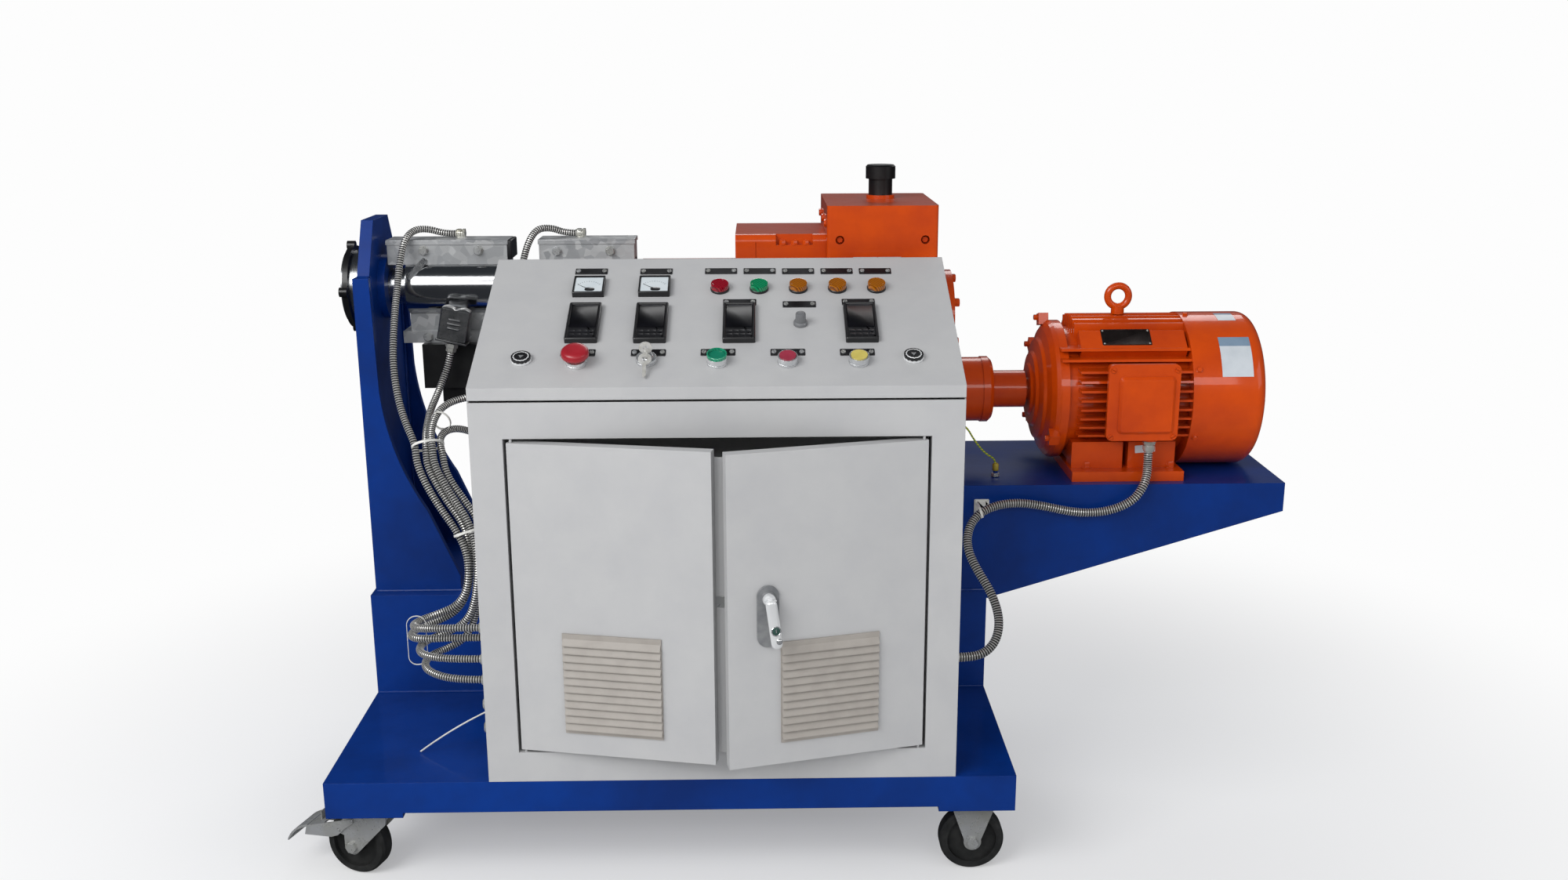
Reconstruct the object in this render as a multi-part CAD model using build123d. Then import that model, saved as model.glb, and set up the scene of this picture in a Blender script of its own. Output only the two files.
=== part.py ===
from build123d import *
import math
import os

# Laboratory single-screw extruder on a four-caster trolley.
# Working frame, millimetres: X to the right along the screw, Y away from the operator, Z up from the
# floor. X = 0 is the middle of the control cabinet, Y = 0 its front face. The last lines move
# everything so that the origin lies under the middle of the machine, on the floor.

# Trolley deck
DECK_LEFT = -598.0
DECK_RIGHT = 442.0
DECK_DEPTH = 626.0
DECK_TOP = 180.0
DECK_SKIRT = 50.0
DECK_SHEET = 5.0
PAD_LENGTH = 116.0
PAD_DEPTH = 110.0
PAD_THICK = 8.0

# Casters
WHEEL_R = 50.0
WHEEL_WIDTH = 32.0
TYRE_WALL = 12.0
HUB_R = 15.0
AXLE_R = 6.0
CASTER_TRAIL = 30.0
FORK_SHEET = 3.0
FORK_CLEAR = 5.0
CASTER_PLATE = 4.0
PLATE_HALF = 44.0
PLATE_SIDE = 38.0
RACE_R = 30.0
RUN_GAP = 0.3
KING_PIN_R = 6.0
KING_HEAD_R = 10.0
KING_HEAD = 4.0
NUT_R = 9.0
NUT_HEIGHT = 6.0
CHEEK_R = 13.0
CROWN_FRONT = -33.0
CROWN_BACK = 43.0
RIGID_HALF = 36.0
PEDAL_PIN = (50.0, 77.0)
PEDAL_PIN_R = 2.5
PEDAL_SHEET = 2.0
PEDAL_GAP = 1.0
PEDAL_SIDE = [(24.0, 99.0), (108.0, 76.0), (112.0, 60.0), (64.0, 63.0), (52.0, 68.0), (40.0, 80.0),
              (24.0, 92.0)]
WEB_START = 76.0
CLAW_TOP = [(106.0, 77.5), (129.0, 67.0), (145.0, 45.0)]
CLAW_UNDER = [(142.5, 45.0), (127.0, 64.0), (106.0, 74.0)]
TAB_AT = 89.0
TAB_TOP = 95.0
TAB_HALF = 10.0
LEFT_TURN = 162.0

# Pedestal and motor shelf
PEDESTAL_GAP = 18.0
PEDESTAL_TOP = 356.0
SHELF_LEFT = 110.0
SHELF_RIGHT = 936.0
SHELF_TOP = 540.0
SHELF_END_DEPTH = 49.0
SHELF_ROOT_DROP = 15.0
SHELF_PLATE = 10.0
SHELF_CHEEK = 8.0

# Control cabinet
CAB_WIDTH = 700.0
CAB_DEPTH = 310.0
CAB_FRONT_TOP = 783.0
CAB_BACK_TOP = 923.0
CAB_SHEET = 2.0
LID_LIP = 18.0
LID_SEAM = 3.0
LID_HINGE_R = 5.0
LID_HINGE_OFF = 6.0
LID_HINGE_X = [-250.0, 210.0]
LID_HINGE_WIDTH = 38.0
LID_PIN_R = 2.0
STILE_WIDTH = 47.0
OPENING_LOW = 227.5
OPENING_HIGH = 709.5
FRAME_RETURN = 22.0
DOOR_GAP = 5.5
DOOR_MEETING = 1.5
DOOR_DEPTH = 18.0
DOOR_PROUD = 1.5
DOOR_PIN_R = 2.0
DOOR_PIN_INSET = 5.0
LEFT_AJAR = 11.3
RIGHT_AJAR = 14.7
LOUVRE_COUNT = 10
LOUVRE_LOW = 578.0
LOUVRE_PITCH = 12.5
LOUVRE_FRONT = 60.0
LOUVRE_LENGTH = 180.0
LOUVRE_PROUD = 8.0

# Door vents
VENT_WIDTH = 148.0
VENT_HEIGHT = 156.0
VENT_FROM_HINGE = 71.0
VENT_LOW = 267.0
VENT_BASE = 2.5
VENT_PROUD = 7.0
VENT_SLATS = 12

# Swing handle on the right door
HANDLE_FROM_HINGE = 238.0
HANDLE_MIDDLE = 464.5
DISH_WIDTH = 32.0
DISH_HEIGHT = 92.0
DISH_THICK = 4.0
SPINDLE_R = 9.0
SPINDLE_HEIGHT = 5.5
SPINDLE_UP = 27.0
LEVER_LENGTH = 72.0
LEVER_WIDTH = 17.0
LEVER_THICK = 10.0
LEVER_WALL = 2.3
LEVER_PIN_R = 1.2
LUG_R = 2.0
LUG_HALF = 3.0
LUG_SIDE_GAP = 0.4
LUG_SWING_GAP = 1.8
LEVER_STAND = 5.5
LEVER_GAP = 2.5
LEVER_PAST_PIN = 5.5
LEVER_LIFT = 8.0
LEVER_TURN = 6.0

# Panel instruments: (distance right of the middle, distance up the slope from the front edge)
METER_AT = [(-200.0, 254.0), (-100.0, 254.0)]
METER_SIZE = 48.0
METER_PROUD = 9.0
CONTROLLER_AT = [(-200.0, 156.0), (-100.0, 155.0), (30.0, 154.0), (210.0, 153.0)]
CONTROLLER_WIDTH = 48.0
CONTROLLER_HEIGHT = 96.0
CONTROLLER_PROUD = 9.0
LAMP_AT = [(0.0, 250.0), (60.0, 250.0), (120.0, 250.0), (180.0, 250.0), (240.0, 250.0)]
LAMP_R = 14.5
LAMP_PROUD = 12.0
ESTOP_AT = (-202.0, 57.0)
ESTOP_R = 20.0
ESTOP_HEIGHT = 27.0
KEY_AT = (-102.0, 62.0)
BUTTON_AT = {"green": (-1.0, 57.0), "red": (100.0, 57.0), "yellow": (202.0, 57.0)}
COLLAR_R = 14.5
COLLAR_HEIGHT = 12.0
CAP_R = 12.0
CAP_STAND = 1.5
PUSH_TRAVEL = 2.0
ESTOP_TRAVEL = 4.0
KNOB_AT = (121.0, 154.0)
KNOB_R = 10.5
KNOB_HEIGHT = 20.0
LOCK_INSET = 69.0
LOCK_UP = 66.5
LOCK_R = 14.0
LOCK_PROUD = 7.0

# Screw axis and barrel
AXIS_Y = 477.0
AXIS_Z = 858.0
BARREL_R = 30.0
BORE_R = 15.0
BARREL_LEFT = -632.0
BRACKET_LEFT = -594.0
BRACKET_PLATE = 20.0
BRACKET_TOP = 974.0
BRACKET_HALF = 48.0
BRACKET_SIDE = 97.0
COLLAR_REACH = 12.0
RIB_APART = 30.0
RIB_PLATE = 12.0
RIB_TOP = 888.0
RIB_LINE = [(26.0, RIB_TOP), (30.0, 700.0), (52.0, 590.0), (96.0, 497.0), (144.0, 382.0)]
DIE_R = 62.0
CLAMP_R = 69.0
CLAMP_THICK = 9.0
SHELL_R = 48.0
SHELL_SPANS = [(-530.0, -362.0), (-307.0, -150.0)]
BOX_SPANS = [(-560.0, -360.0), (-307.0, -148.0)]
BOX_HIGH = 937.0
BOX_DEPTH = 56.0
STRIP_LOW = 765.0
STRIP_HIGH = 785.0
FEED_LEFT = -140.0
FEED_RIGHT = -8.0
FEED_TOP = 896.0
FEED_HALF = 50.0
THROAT_R = 20.0

# Gearbox
GEAR_LEFT = 170.0
GEAR_RIGHT = 350.0
GEAR_FRONT = 358.0
GEAR_TOP = 1000.0
GEAR_FOOT = 22.0
THRUST_LEFT = 22.0
THRUST_HALF = 98.0
THRUST_TOP = 952.0
BEARING_COVER_Z = 800.0
BEARING_COVER_R = 80.0
BOLT_INSET = 21.0
GEAR_BOLT_Z = 945.0
GEAR_BOLT_R = 7.0
POCKET = (88.0, 148.0)
POCKET_LOW = 935.0
POCKET_DEPTH = 12.0
THRUST_SEAM = 56.0
CAP_BOSS = 6.0
CAP_BOSS_R = 24.0
CAP_X = 267.0
CAP_Y = 500.0

# Drive line and motor
MOTOR_Z = 672.0
COUPLING_LEFT = 394.0
COUPLING_SEAM = 442.0
COUPLING_RIGHT = 460.0
COUPLING_CHAMFER = 6.0
COUPLING_R = 57.0
HUB_TUBE_R = 32.0
SHAFT_R = 19.0
HUB_STOP = 9.0
BELL_LEFT = 528.0
BELL_RIGHT = 562.0
BELL_R = 119.0
BELL_STEPS = [(42.0, -4.0), (46.0, 0.0), (62.0, 1.0), (66.0, 6.0), (86.0, 10.0), (90.0, 15.0),
              (105.0, 20.0), (115.0, 27.0), (119.0, 33.0)]
RIM_LENGTH = 14.0
EAR_ANGLES = [120.0, -15.0, -62.0, -125.0]
EAR_LENGTH = 17.0
EAR_WIDTH = 20.0
EAR_OUT = 131.0
BODY_RIGHT = 778.0
BODY_R = 108.0
FIN_LEFT = 592.0
FIN_R = 130.5
FIN_PITCH = 15.5
FIN_THICK = 4.0
SIDE_FINS = 8
SIDE_FIN_TOP = 52.0
TOP_FINS = 7
LONG_RIBS = [72.0, 88.0]
SHOULDER_TURN = 39.0
SHOULDER_WIDTH = 44.0
SHOULDER_LENGTH = 178.0
SHOULDER_OUT = 127.0
COWL_RIGHT = 903.0
COWL_R = 132.0
FOOT_LEFT = 582.0
FOOT_RIGHT = 770.0
FOOT_HALF = 132.0
FOOT_THICK = 17.0
LEG_HALF = 106.0
LEG_GAP = 66.0
LEG_UP = 70.0
LEG_SPLIT = 9.0
TBOX_LEFT = 629.0
TBOX_RIGHT = 747.0
TBOX_LOW = 617.0
TBOX_HIGH = 745.0
TBOX_FRONT = 313.0
TBOX_PAD = 6.0
TBOX_COVER = 9.0
TBOX_BOSS = 4.0
EYE_X = 676.0
EYE_TOP = 857.0

# Conduits and glands
CONDUIT_R = 6.0
MOTOR_CONDUIT_R = 7.5
EARTH_R = 1.5
GLAND_R = 10.0
GLAND_LENGTH = 20.0
GLAND_AT = [(90.0, 391.0), (112.0, 366.0), (90.0, 340.0), (90.0, 306.0), (90.0, 266.0), (90.0, 227.0)]
RIGHT_GLAND = (150.0, 309.0)
MOTOR_GLAND = (706.0, 338.0)
BOX_GLANDS = [-452.0, -249.0]
BOX_GLAND_Y = 490.0
BOX_GLAND_R = 8.0
BLOWER_GLAND = (-400.0, 470.0)
BLOWER_LOW = 664.0
BLOWER_SHOULDER = 690.0
BLOWER_SPAN = (-508.0, -372.0)
BLOWER_NECK = (-480.0, -384.0)
BLOWER_HALF = 45.0
BLOWER_NECK_HALF = 35.0
PLUG_AT = (-446.0, 409.0, 802.0)
PLUG_SIZE = (50.0, 24.0, 58.0)
SOCKET_HALF = 16.0
SOCKET_UP = 24.0
SOCKET_DOWN = 2.0
SOCKET_BITE = 17.0
PLUG_TILT = 12.0
PLUG_GLAND_DOWN = 41.0
EARTH_STUD = (459.0, 382.0)
EARTH_STUD_TOP = 552.0

# Routes of the flexible conduits, by hand: each first and last run lies on its gland's axis
HEATER_FRONT_ROUTE = [
    (-452, 490, 945), (-472, 490, 945), (-495, 480, 954), (-515, 462, 955), (-526, 436, 942),
    (-531, 416, 912), (-533, 397, 874), (-534, 370, 832), (-533, 345, 794), (-532, 328, 758),
    (-527, 313, 723), (-518, 297, 689), (-505, 279, 661), (-490, 262, 637), (-486, 250, 606),
    (-472, 240, 576), (-450, 230, 540), (-425, 220, 507), (-407, 208, 474), (-403, 197, 440),
    (-409, 195, 408), (-426, 196, 386), (-450, 190, 377), (-474, 172, 374), (-484, 146, 375),
    (-474, 118, 380), (-448, 98, 387), (-406, 90, 391), (-370, 90, 391)]
PLUG_ROUTE = [
    (-454.54, 409, 761.83), (-459.51, 409, 738.42), (-469, 400, 712), (-477, 378, 688), (-482, 350, 671),
    (-481, 321, 657), (-479, 295, 645), (-475, 271, 630), (-472, 256, 605), (-459, 246, 580),
    (-438, 236, 547), (-414, 227, 515), (-404, 222, 480), (-403, 212, 444), (-409, 210, 405),
    (-426, 211, 374), (-452, 205, 360), (-480, 185, 356), (-491, 154, 357), (-480, 126, 360),
    (-452, 114, 364), (-409, 112, 366), (-370, 112, 366)]
HEATER_REAR_ROUTE = [
    (-249, 490, 945), (-268, 490, 945), (-289, 479, 955), (-311, 461, 955), (-323, 438, 935),
    (-331, 415, 900), (-337, 396, 858), (-343, 384, 815), (-352, 377, 771), (-369, 373, 731),
    (-393, 370, 702), (-421, 364, 689), (-445, 348, 686), (-460, 326, 679), (-467, 302, 665),
    (-468, 280, 648), (-463, 263, 631), (-459, 251, 607), (-447, 240, 585), (-427, 230, 554),
    (-404, 219, 522), (-391, 206, 486), (-388, 196, 448), (-394, 196, 402), (-406, 199, 366),
    (-430, 197, 346), (-458, 184, 340), (-476, 158, 338), (-473, 128, 337), (-453, 105, 338),
    (-412, 90, 340), (-370, 90, 340)]
BLOWER_ROUTE = [
    (-400, 470, 644), (-400, 470, 624), (-399, 458, 603), (-397, 434, 594), (-398, 404, 600),
    (-405, 377, 616), (-418, 354, 633), (-435, 333, 644), (-449, 313, 646), (-456, 294, 640),
    (-454, 280, 629), (-448, 268, 616), (-444, 257, 598), (-434, 248, 578), (-413, 239, 551),
    (-390, 229, 519), (-387, 222, 488), (-386, 211, 450), (-391, 211, 405), (-400, 212, 358),
    (-417, 207, 326), (-442, 196, 315), (-465, 174, 313), (-470, 142, 312), (-456, 113, 309),
    (-413, 90, 306), (-370, 90, 306)]
MOTOR_ROUTE = [
    (706, 338, 593), (706, 338, 574), (702, 324, 555), (692, 311, 537), (676, 306, 518),
    (648, 308, 503), (613, 313, 495), (574, 312, 498), (533, 311, 508), (492, 311, 515),
    (453, 308, 513), (419, 298, 501), (400, 281, 480), (396, 258, 453), (410, 236, 424),
    (431, 214, 393), (441, 192, 362), (437, 172, 336), (421, 158, 317), (396, 150, 309),
    (370, 150, 309)]
EARTH_ROUTE = [
    (350, 280, 660), (364, 280, 660), (384, 294, 656), (400, 316, 641), (412, 332, 620),
    (427, 347, 599), (441, 362, 584), (454, 377, 574), (459, 382, 564), (459, 382, 552)]

# Worked-out places
DECK_BOTTOM = DECK_TOP - DECK_SKIRT
PAD_BOTTOM = DECK_BOTTOM - PAD_THICK
RACE_TOP = PAD_BOTTOM - CASTER_PLATE
CROWN_TOP = 2 * WHEEL_R + FORK_CLEAR + FORK_SHEET
RACE_BOTTOM = CROWN_TOP + RUN_GAP
FORK_HALF = WHEEL_WIDTH / 2 + 3.0
SWIVELS = {
    "front_left": (DECK_LEFT + PAD_LENGTH / 2, PAD_DEPTH / 2, LEFT_TURN),
    "rear_left": (DECK_LEFT + PAD_LENGTH / 2, DECK_DEPTH - PAD_DEPTH / 2, -LEFT_TURN),
}
FIXED = {
    "front_right": (DECK_RIGHT - PAD_LENGTH / 2, PAD_DEPTH / 2, 0.0),
    "rear_right": (DECK_RIGHT - PAD_LENGTH / 2, DECK_DEPTH - PAD_DEPTH / 2, 0.0),
}
CASTERS = {**SWIVELS, **FIXED}
CAB_HALF = CAB_WIDTH / 2
OPENING_HALF = CAB_HALF - STILE_WIDTH
SLOPE = math.atan2(CAB_BACK_TOP - CAB_FRONT_TOP, CAB_DEPTH)
DOOR_EDGE = OPENING_HALF - DOOR_GAP
DOOR_LOW = OPENING_LOW + DOOR_GAP
DOOR_HIGH = OPENING_HIGH - DOOR_GAP
PIN_X = DOOR_EDGE - DOOR_PIN_INSET
PIN_Y = DOOR_PIN_INSET - DOOR_PROUD
LID_HINGE_Y = CAB_DEPTH + LID_HINGE_OFF
LID_HINGE_Z = CAB_BACK_TOP - LID_HINGE_R
PEDESTAL_FRONT = CAB_DEPTH + PEDESTAL_GAP
PEDESTAL_BACK = DECK_DEPTH
RIB_FRONT = AXIS_Y - BRACKET_SIDE - RIB_APART
LOCK_AT = [(LOCK_INSET - CAB_HALF, LOCK_UP), (CAB_HALF - LOCK_INSET, LOCK_UP)]
BARREL_BORE_END = (FEED_LEFT + FEED_RIGHT) / 2 + THROAT_R


def block(x0, x1, y0, y1, z0, z1):
    """A box between two corners."""
    return Pos((x0 + x1) / 2, (y0 + y1) / 2, (z0 + z1) / 2) * Box(x1 - x0, y1 - y0, z1 - z0)


def rod_x(x0, x1, y, z, r):
    """A cylinder along X."""
    return Pos((x0 + x1) / 2, y, z) * Rot(0, 90, 0) * Cylinder(r, x1 - x0)


def rod_y(x, y0, y1, z, r):
    """A cylinder along Y."""
    return Pos(x, (y0 + y1) / 2, z) * Rot(90, 0, 0) * Cylinder(r, y1 - y0)


def rod_z(x, y, z0, z1, r):
    """An upright cylinder."""
    return Pos(x, y, (z0 + z1) / 2) * Cylinder(r, z1 - z0)


def plate_x(points, x0, x1):
    """A plate between x0 and x1 whose outline is given as (y, z) points."""
    face = Plane.YZ * make_face(Polyline(*points, close=True))
    return Pos(x0, 0, 0) * extrude(face, amount=x1 - x0, dir=(1, 0, 0))


def plate_y(points, y0, y1):
    """A plate between y0 and y1 whose outline is given as (x, z) points."""
    face = Plane.XZ * make_face(Polyline(*points, close=True))
    return Pos(0, y0, 0) * extrude(face, amount=y1 - y0, dir=(0, 1, 0))


def slope_z(y):
    """Height of the lid's outer face at a depth y."""
    return CAB_FRONT_TOP + y * math.tan(SLOPE)


def on_panel(right, up):
    """Location on the sloped lid: local X to the right, local Y up the slope, local Z outwards."""
    y = up * math.cos(SLOPE)
    return Pos(right, y, slope_z(y)) * Rot(math.degrees(SLOPE), 0, 0)


def deck():
    """Folded tray with stiffeners under it and a pad at each corner for a caster."""
    body = block(DECK_LEFT, DECK_RIGHT, 0, DECK_DEPTH, DECK_BOTTOM, DECK_TOP)
    body -= block(DECK_LEFT + DECK_SHEET, DECK_RIGHT - DECK_SHEET, DECK_SHEET, DECK_DEPTH - DECK_SHEET,
                  DECK_BOTTOM - 1, DECK_TOP - DECK_SHEET)
    for share in (0.33, 0.67):
        x = DECK_LEFT + share * (DECK_RIGHT - DECK_LEFT)
        body += block(x - 20, x + 20, DECK_SHEET, DECK_DEPTH - DECK_SHEET,
                      DECK_BOTTOM + 10, DECK_TOP - DECK_SHEET)
    for x, y, turn in CASTERS.values():
        body += block(x - PAD_LENGTH / 2, x + PAD_LENGTH / 2, y - PAD_DEPTH / 2, y + PAD_DEPTH / 2,
                      PAD_BOTTOM, DECK_BOTTOM)
    return body


def caster_plates():
    """Zinc top plates, the left ones with the ball race and the king pin that holds the fork."""
    plates = []
    head_top = CROWN_TOP - FORK_SHEET - RUN_GAP
    for name, (x, y, turn) in CASTERS.items():
        plate = block(x - PLATE_HALF, x + PLATE_HALF, y - PLATE_SIDE, y + PLATE_SIDE, RACE_TOP, PAD_BOTTOM)
        if name in SWIVELS:
            plate += rod_z(x, y, RACE_BOTTOM, RACE_TOP, RACE_R)
            plate += rod_z(x, y, head_top, RACE_BOTTOM, KING_PIN_R)
            plate += rod_z(x, y, head_top - KING_HEAD, head_top, KING_HEAD_R)
        plates.append(plate)
    return Compound(children=plates)


def at_caster(name, shape):
    """Turn a caster piece, drawn with its trail along +X, to where that caster stands."""
    x, y, turn = CASTERS[name]
    return Pos(x, y, 0) * Rot(0, 0, turn) * shape


def trail(name):
    """Distance from a caster's upright axis to its axle."""
    return CASTER_TRAIL if name in SWIVELS else 0.0


def cheek_face(lines):
    """Cheek of a fork: its outline lines, closed by an arc round the underside of the axle."""
    first = lines[0]
    last = lines[-1]
    middle = (first[0] + last[0]) / 2
    arc = ThreePointArc(last, (middle, WHEEL_R - CHEEK_R), first)
    return Plane.XZ * make_face([Polyline(*lines), arc])


def caster_fork(name):
    """Pressed fork: a flat crown, two cheeks that narrow to the axle, and the axle bolt with its nuts."""
    outer = FORK_HALF + FORK_SHEET
    axle = trail(name)
    if name in SWIVELS:
        turn_in = CHEEK_R * math.sin(math.pi / 4)
        lines = [(axle + CHEEK_R, WHEEL_R), (axle + CHEEK_R, WHEEL_R + 18),
                 (PEDAL_PIN[0] + 6, PEDAL_PIN[1] - 5), (PEDAL_PIN[0] + 6, PEDAL_PIN[1] + 5),
                 (CROWN_BACK, CROWN_TOP - 12), (CROWN_BACK, CROWN_TOP), (CROWN_FRONT, CROWN_TOP),
                 (CROWN_FRONT + 2, CROWN_TOP - 12), (axle - turn_in, WHEEL_R - turn_in)]
        fork = block(CROWN_FRONT, CROWN_BACK, -outer, outer, CROWN_TOP - FORK_SHEET, CROWN_TOP)
        fork -= rod_z(0, 0, 0, CROWN_TOP + 1, KING_PIN_R + RUN_GAP)
    else:
        lines = [(CHEEK_R, WHEEL_R + 4), (RIGID_HALF, RACE_TOP), (-RIGID_HALF, RACE_TOP),
                 (-CHEEK_R, WHEEL_R + 4)]
        fork = block(-RIGID_HALF, RIGID_HALF, -outer, outer, RACE_TOP - FORK_SHEET, RACE_TOP)
    cheek = cheek_face(lines)
    for low in (-outer, FORK_HALF):
        fork += Pos(0, low, 0) * extrude(cheek, amount=FORK_SHEET, dir=(0, 1, 0))
    fork += rod_y(axle, -outer, outer, WHEEL_R, AXLE_R)
    nut = extrude(RegularPolygon(NUT_R, 6), NUT_HEIGHT / 2, both=True)
    for side in (-1, 1):
        fork += Pos(axle, side * (outer + NUT_HEIGHT / 2), WHEEL_R) * Rot(90, 0, 0) * nut
    if name == "front_left":
        stub_end = outer + PEDAL_GAP + PEDAL_SHEET + 1
        for low, high in ((-stub_end, -FORK_HALF), (FORK_HALF, stub_end)):
            fork += rod_y(PEDAL_PIN[0], low, high, PEDAL_PIN[1], PEDAL_PIN_R)
    return at_caster(name, fork)


def caster_wheel(name):
    """Rubber-tyred wheel with a narrower web and a hub that runs on the axle bolt."""
    half = WHEEL_WIDTH / 2
    bore = AXLE_R + RUN_GAP
    rim = WHEEL_R - TYRE_WALL
    outline = Polyline((bore, -half), (HUB_R, -half), (HUB_R, -half * 0.4), (rim, -half * 0.4),
                       (rim, -half * 0.85), (WHEEL_R - 3, -half * 0.85), (WHEEL_R, -half * 0.6),
                       (WHEEL_R, half * 0.6), (WHEEL_R - 3, half * 0.85), (rim, half * 0.85),
                       (rim, half * 0.4), (HUB_R, half * 0.4), (HUB_R, half), (bore, half), close=True)
    wheel = revolve(make_face(outline), Axis.Y)
    return at_caster(name, Pos(trail(name), 0, WHEEL_R) * wheel)


def brake_pedal():
    """Stamped channel that straddles the fork on two stubs, with a curved claw for the foot and a tab."""
    inner = FORK_HALF + FORK_SHEET + PEDAL_GAP
    outer = inner + PEDAL_SHEET
    pedal = plate_y(PEDAL_SIDE, -outer, -inner) + plate_y(PEDAL_SIDE, inner, outer)
    (x0, z0), (x1, z1) = PEDAL_SIDE[:2]
    fall = (z1 - z0) / (x1 - x0)
    web = [(WEB_START, z0 + fall * (WEB_START - x0)), (x1, z1), (x1, z1 - PEDAL_SHEET),
           (WEB_START, z0 + fall * (WEB_START - x0) - PEDAL_SHEET)]
    pedal += plate_y(web, -outer, outer)
    tip = Line(CLAW_TOP[-1], CLAW_UNDER[0])
    root = Line(CLAW_UNDER[-1], CLAW_TOP[0])
    claw = make_face([ThreePointArc(*CLAW_TOP), tip, ThreePointArc(*CLAW_UNDER), root])
    pedal += Pos(0, -outer, 0) * extrude(Plane.XZ * claw, amount=2 * outer, dir=(0, 1, 0))
    tab_low = z0 + fall * (TAB_AT - x0) - 1
    pedal += block(TAB_AT, TAB_AT + PEDAL_SHEET, -TAB_HALF, TAB_HALF, tab_low, TAB_TOP)
    pedal -= rod_y(PEDAL_PIN[0], -outer - 1, outer + 1, PEDAL_PIN[1], PEDAL_PIN_R + RUN_GAP)
    return at_caster("front_left", pedal)


def pedestal():
    """Welded box beam along the back of the deck."""
    return block(DECK_LEFT, DECK_RIGHT, PEDESTAL_FRONT, PEDESTAL_BACK, DECK_TOP, PEDESTAL_TOP)


def motor_shelf():
    """Welded bracket shelf: top plate, two tapering cheeks, an end plate and ribs between them."""
    low = PEDESTAL_TOP
    root = DECK_RIGHT
    line = [(SHELF_LEFT, low), (root, low), (root, low - SHELF_ROOT_DROP),
            (SHELF_RIGHT, SHELF_TOP - SHELF_END_DEPTH), (SHELF_RIGHT, SHELF_TOP - SHELF_PLATE),
            (SHELF_LEFT, SHELF_TOP - SHELF_PLATE)]
    body = block(SHELF_LEFT, SHELF_RIGHT, PEDESTAL_FRONT, PEDESTAL_BACK, SHELF_TOP - SHELF_PLATE, SHELF_TOP)
    body += plate_y(line, PEDESTAL_FRONT, PEDESTAL_FRONT + SHELF_CHEEK)
    body += plate_y(line, PEDESTAL_BACK - SHELF_CHEEK, PEDESTAL_BACK)
    body += block(SHELF_RIGHT - SHELF_CHEEK, SHELF_RIGHT, PEDESTAL_FRONT, PEDESTAL_BACK,
                  SHELF_TOP - SHELF_END_DEPTH, SHELF_TOP)
    body += rod_z(*EARTH_STUD, SHELF_TOP, EARTH_STUD_TOP, 4)
    for x in (SHELF_LEFT, root - SHELF_CHEEK):
        body += block(x, x + SHELF_CHEEK, PEDESTAL_FRONT, PEDESTAL_BACK, low, SHELF_TOP)
    body += block(root, root + SHELF_CHEEK, PEDESTAL_FRONT, PEDESTAL_BACK, low - SHELF_ROOT_DROP, SHELF_TOP)
    return body


def barrel_bracket():
    """Upright plate that carries the die end of the barrel, between two curved gusset ribs."""
    left = BRACKET_LEFT
    right = BRACKET_LEFT + BRACKET_PLATE
    front = AXIS_Y - BRACKET_SIDE
    back = AXIS_Y + BRACKET_SIDE
    line = [(front, PEDESTAL_TOP), (front, RIB_TOP), (AXIS_Y - BRACKET_HALF, BRACKET_TOP),
            (AXIS_Y + BRACKET_HALF, BRACKET_TOP), (back, RIB_TOP), (back, PEDESTAL_TOP)]
    body = plate_x(line, left, right)
    shoulder, neck, hollow, knee, toe = [(left + out, up) for out, up in RIB_LINE]
    upper = Polyline((left, PEDESTAL_TOP), (left, RIB_TOP), shoulder, neck)
    curve = ThreePointArc(neck, hollow, knee)
    lower = Polyline(knee, toe, (toe[0], PEDESTAL_TOP), (left, PEDESTAL_TOP))
    face = Plane.XZ * make_face([upper, curve, lower])
    for y in (RIB_FRONT, 2 * AXIS_Y - RIB_FRONT - RIB_PLATE):
        body += Pos(0, y, 0) * extrude(face, amount=RIB_PLATE, dir=(0, 1, 0))
    for y0, y1 in ((RIB_FRONT, front + 1), (back - 1, 2 * AXIS_Y - RIB_FRONT)):
        body += block(left, right, y0, y1, PEDESTAL_TOP, RIB_TOP)
    body += block(left, toe[0], RIB_FRONT, 2 * AXIS_Y - RIB_FRONT, PEDESTAL_TOP, PEDESTAL_TOP + 12)
    body += rod_x(right, right + COLLAR_REACH, AXIS_Y, AXIS_Z, BARREL_R + 24)
    body -= rod_x(left - 1, right + 20, AXIS_Y, AXIS_Z, BARREL_R + RUN_GAP)
    return body


def barrel():
    """Plain steel barrel with its bore open at the die end, and the machined die flange."""
    body = rod_x(BARREL_LEFT, FEED_LEFT, AXIS_Y, AXIS_Z, BARREL_R)
    body += rod_x(BARREL_LEFT, BRACKET_LEFT, AXIS_Y, AXIS_Z, DIE_R)
    body -= rod_x(BARREL_LEFT - 1, FEED_LEFT + 1, AXIS_Y, AXIS_Z, BORE_R)
    return body


def die_clamp():
    """Black clamp ring with four lugs that holds a die against the flange."""
    ring = rod_x(BARREL_LEFT + 4, BARREL_LEFT + 4 + CLAMP_THICK, AXIS_Y, AXIS_Z, CLAMP_R)
    for turn in range(4):
        angle = math.radians(90 * turn)
        y = AXIS_Y + CLAMP_R * math.cos(angle)
        z = AXIS_Z + CLAMP_R * math.sin(angle)
        ring += rod_x(BARREL_LEFT, BARREL_LEFT + 4 + CLAMP_THICK, y, z, 8)
    ring -= rod_x(BARREL_LEFT - 1, BRACKET_LEFT, AXIS_Y, AXIS_Z, DIE_R + RUN_GAP)
    return ring


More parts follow.
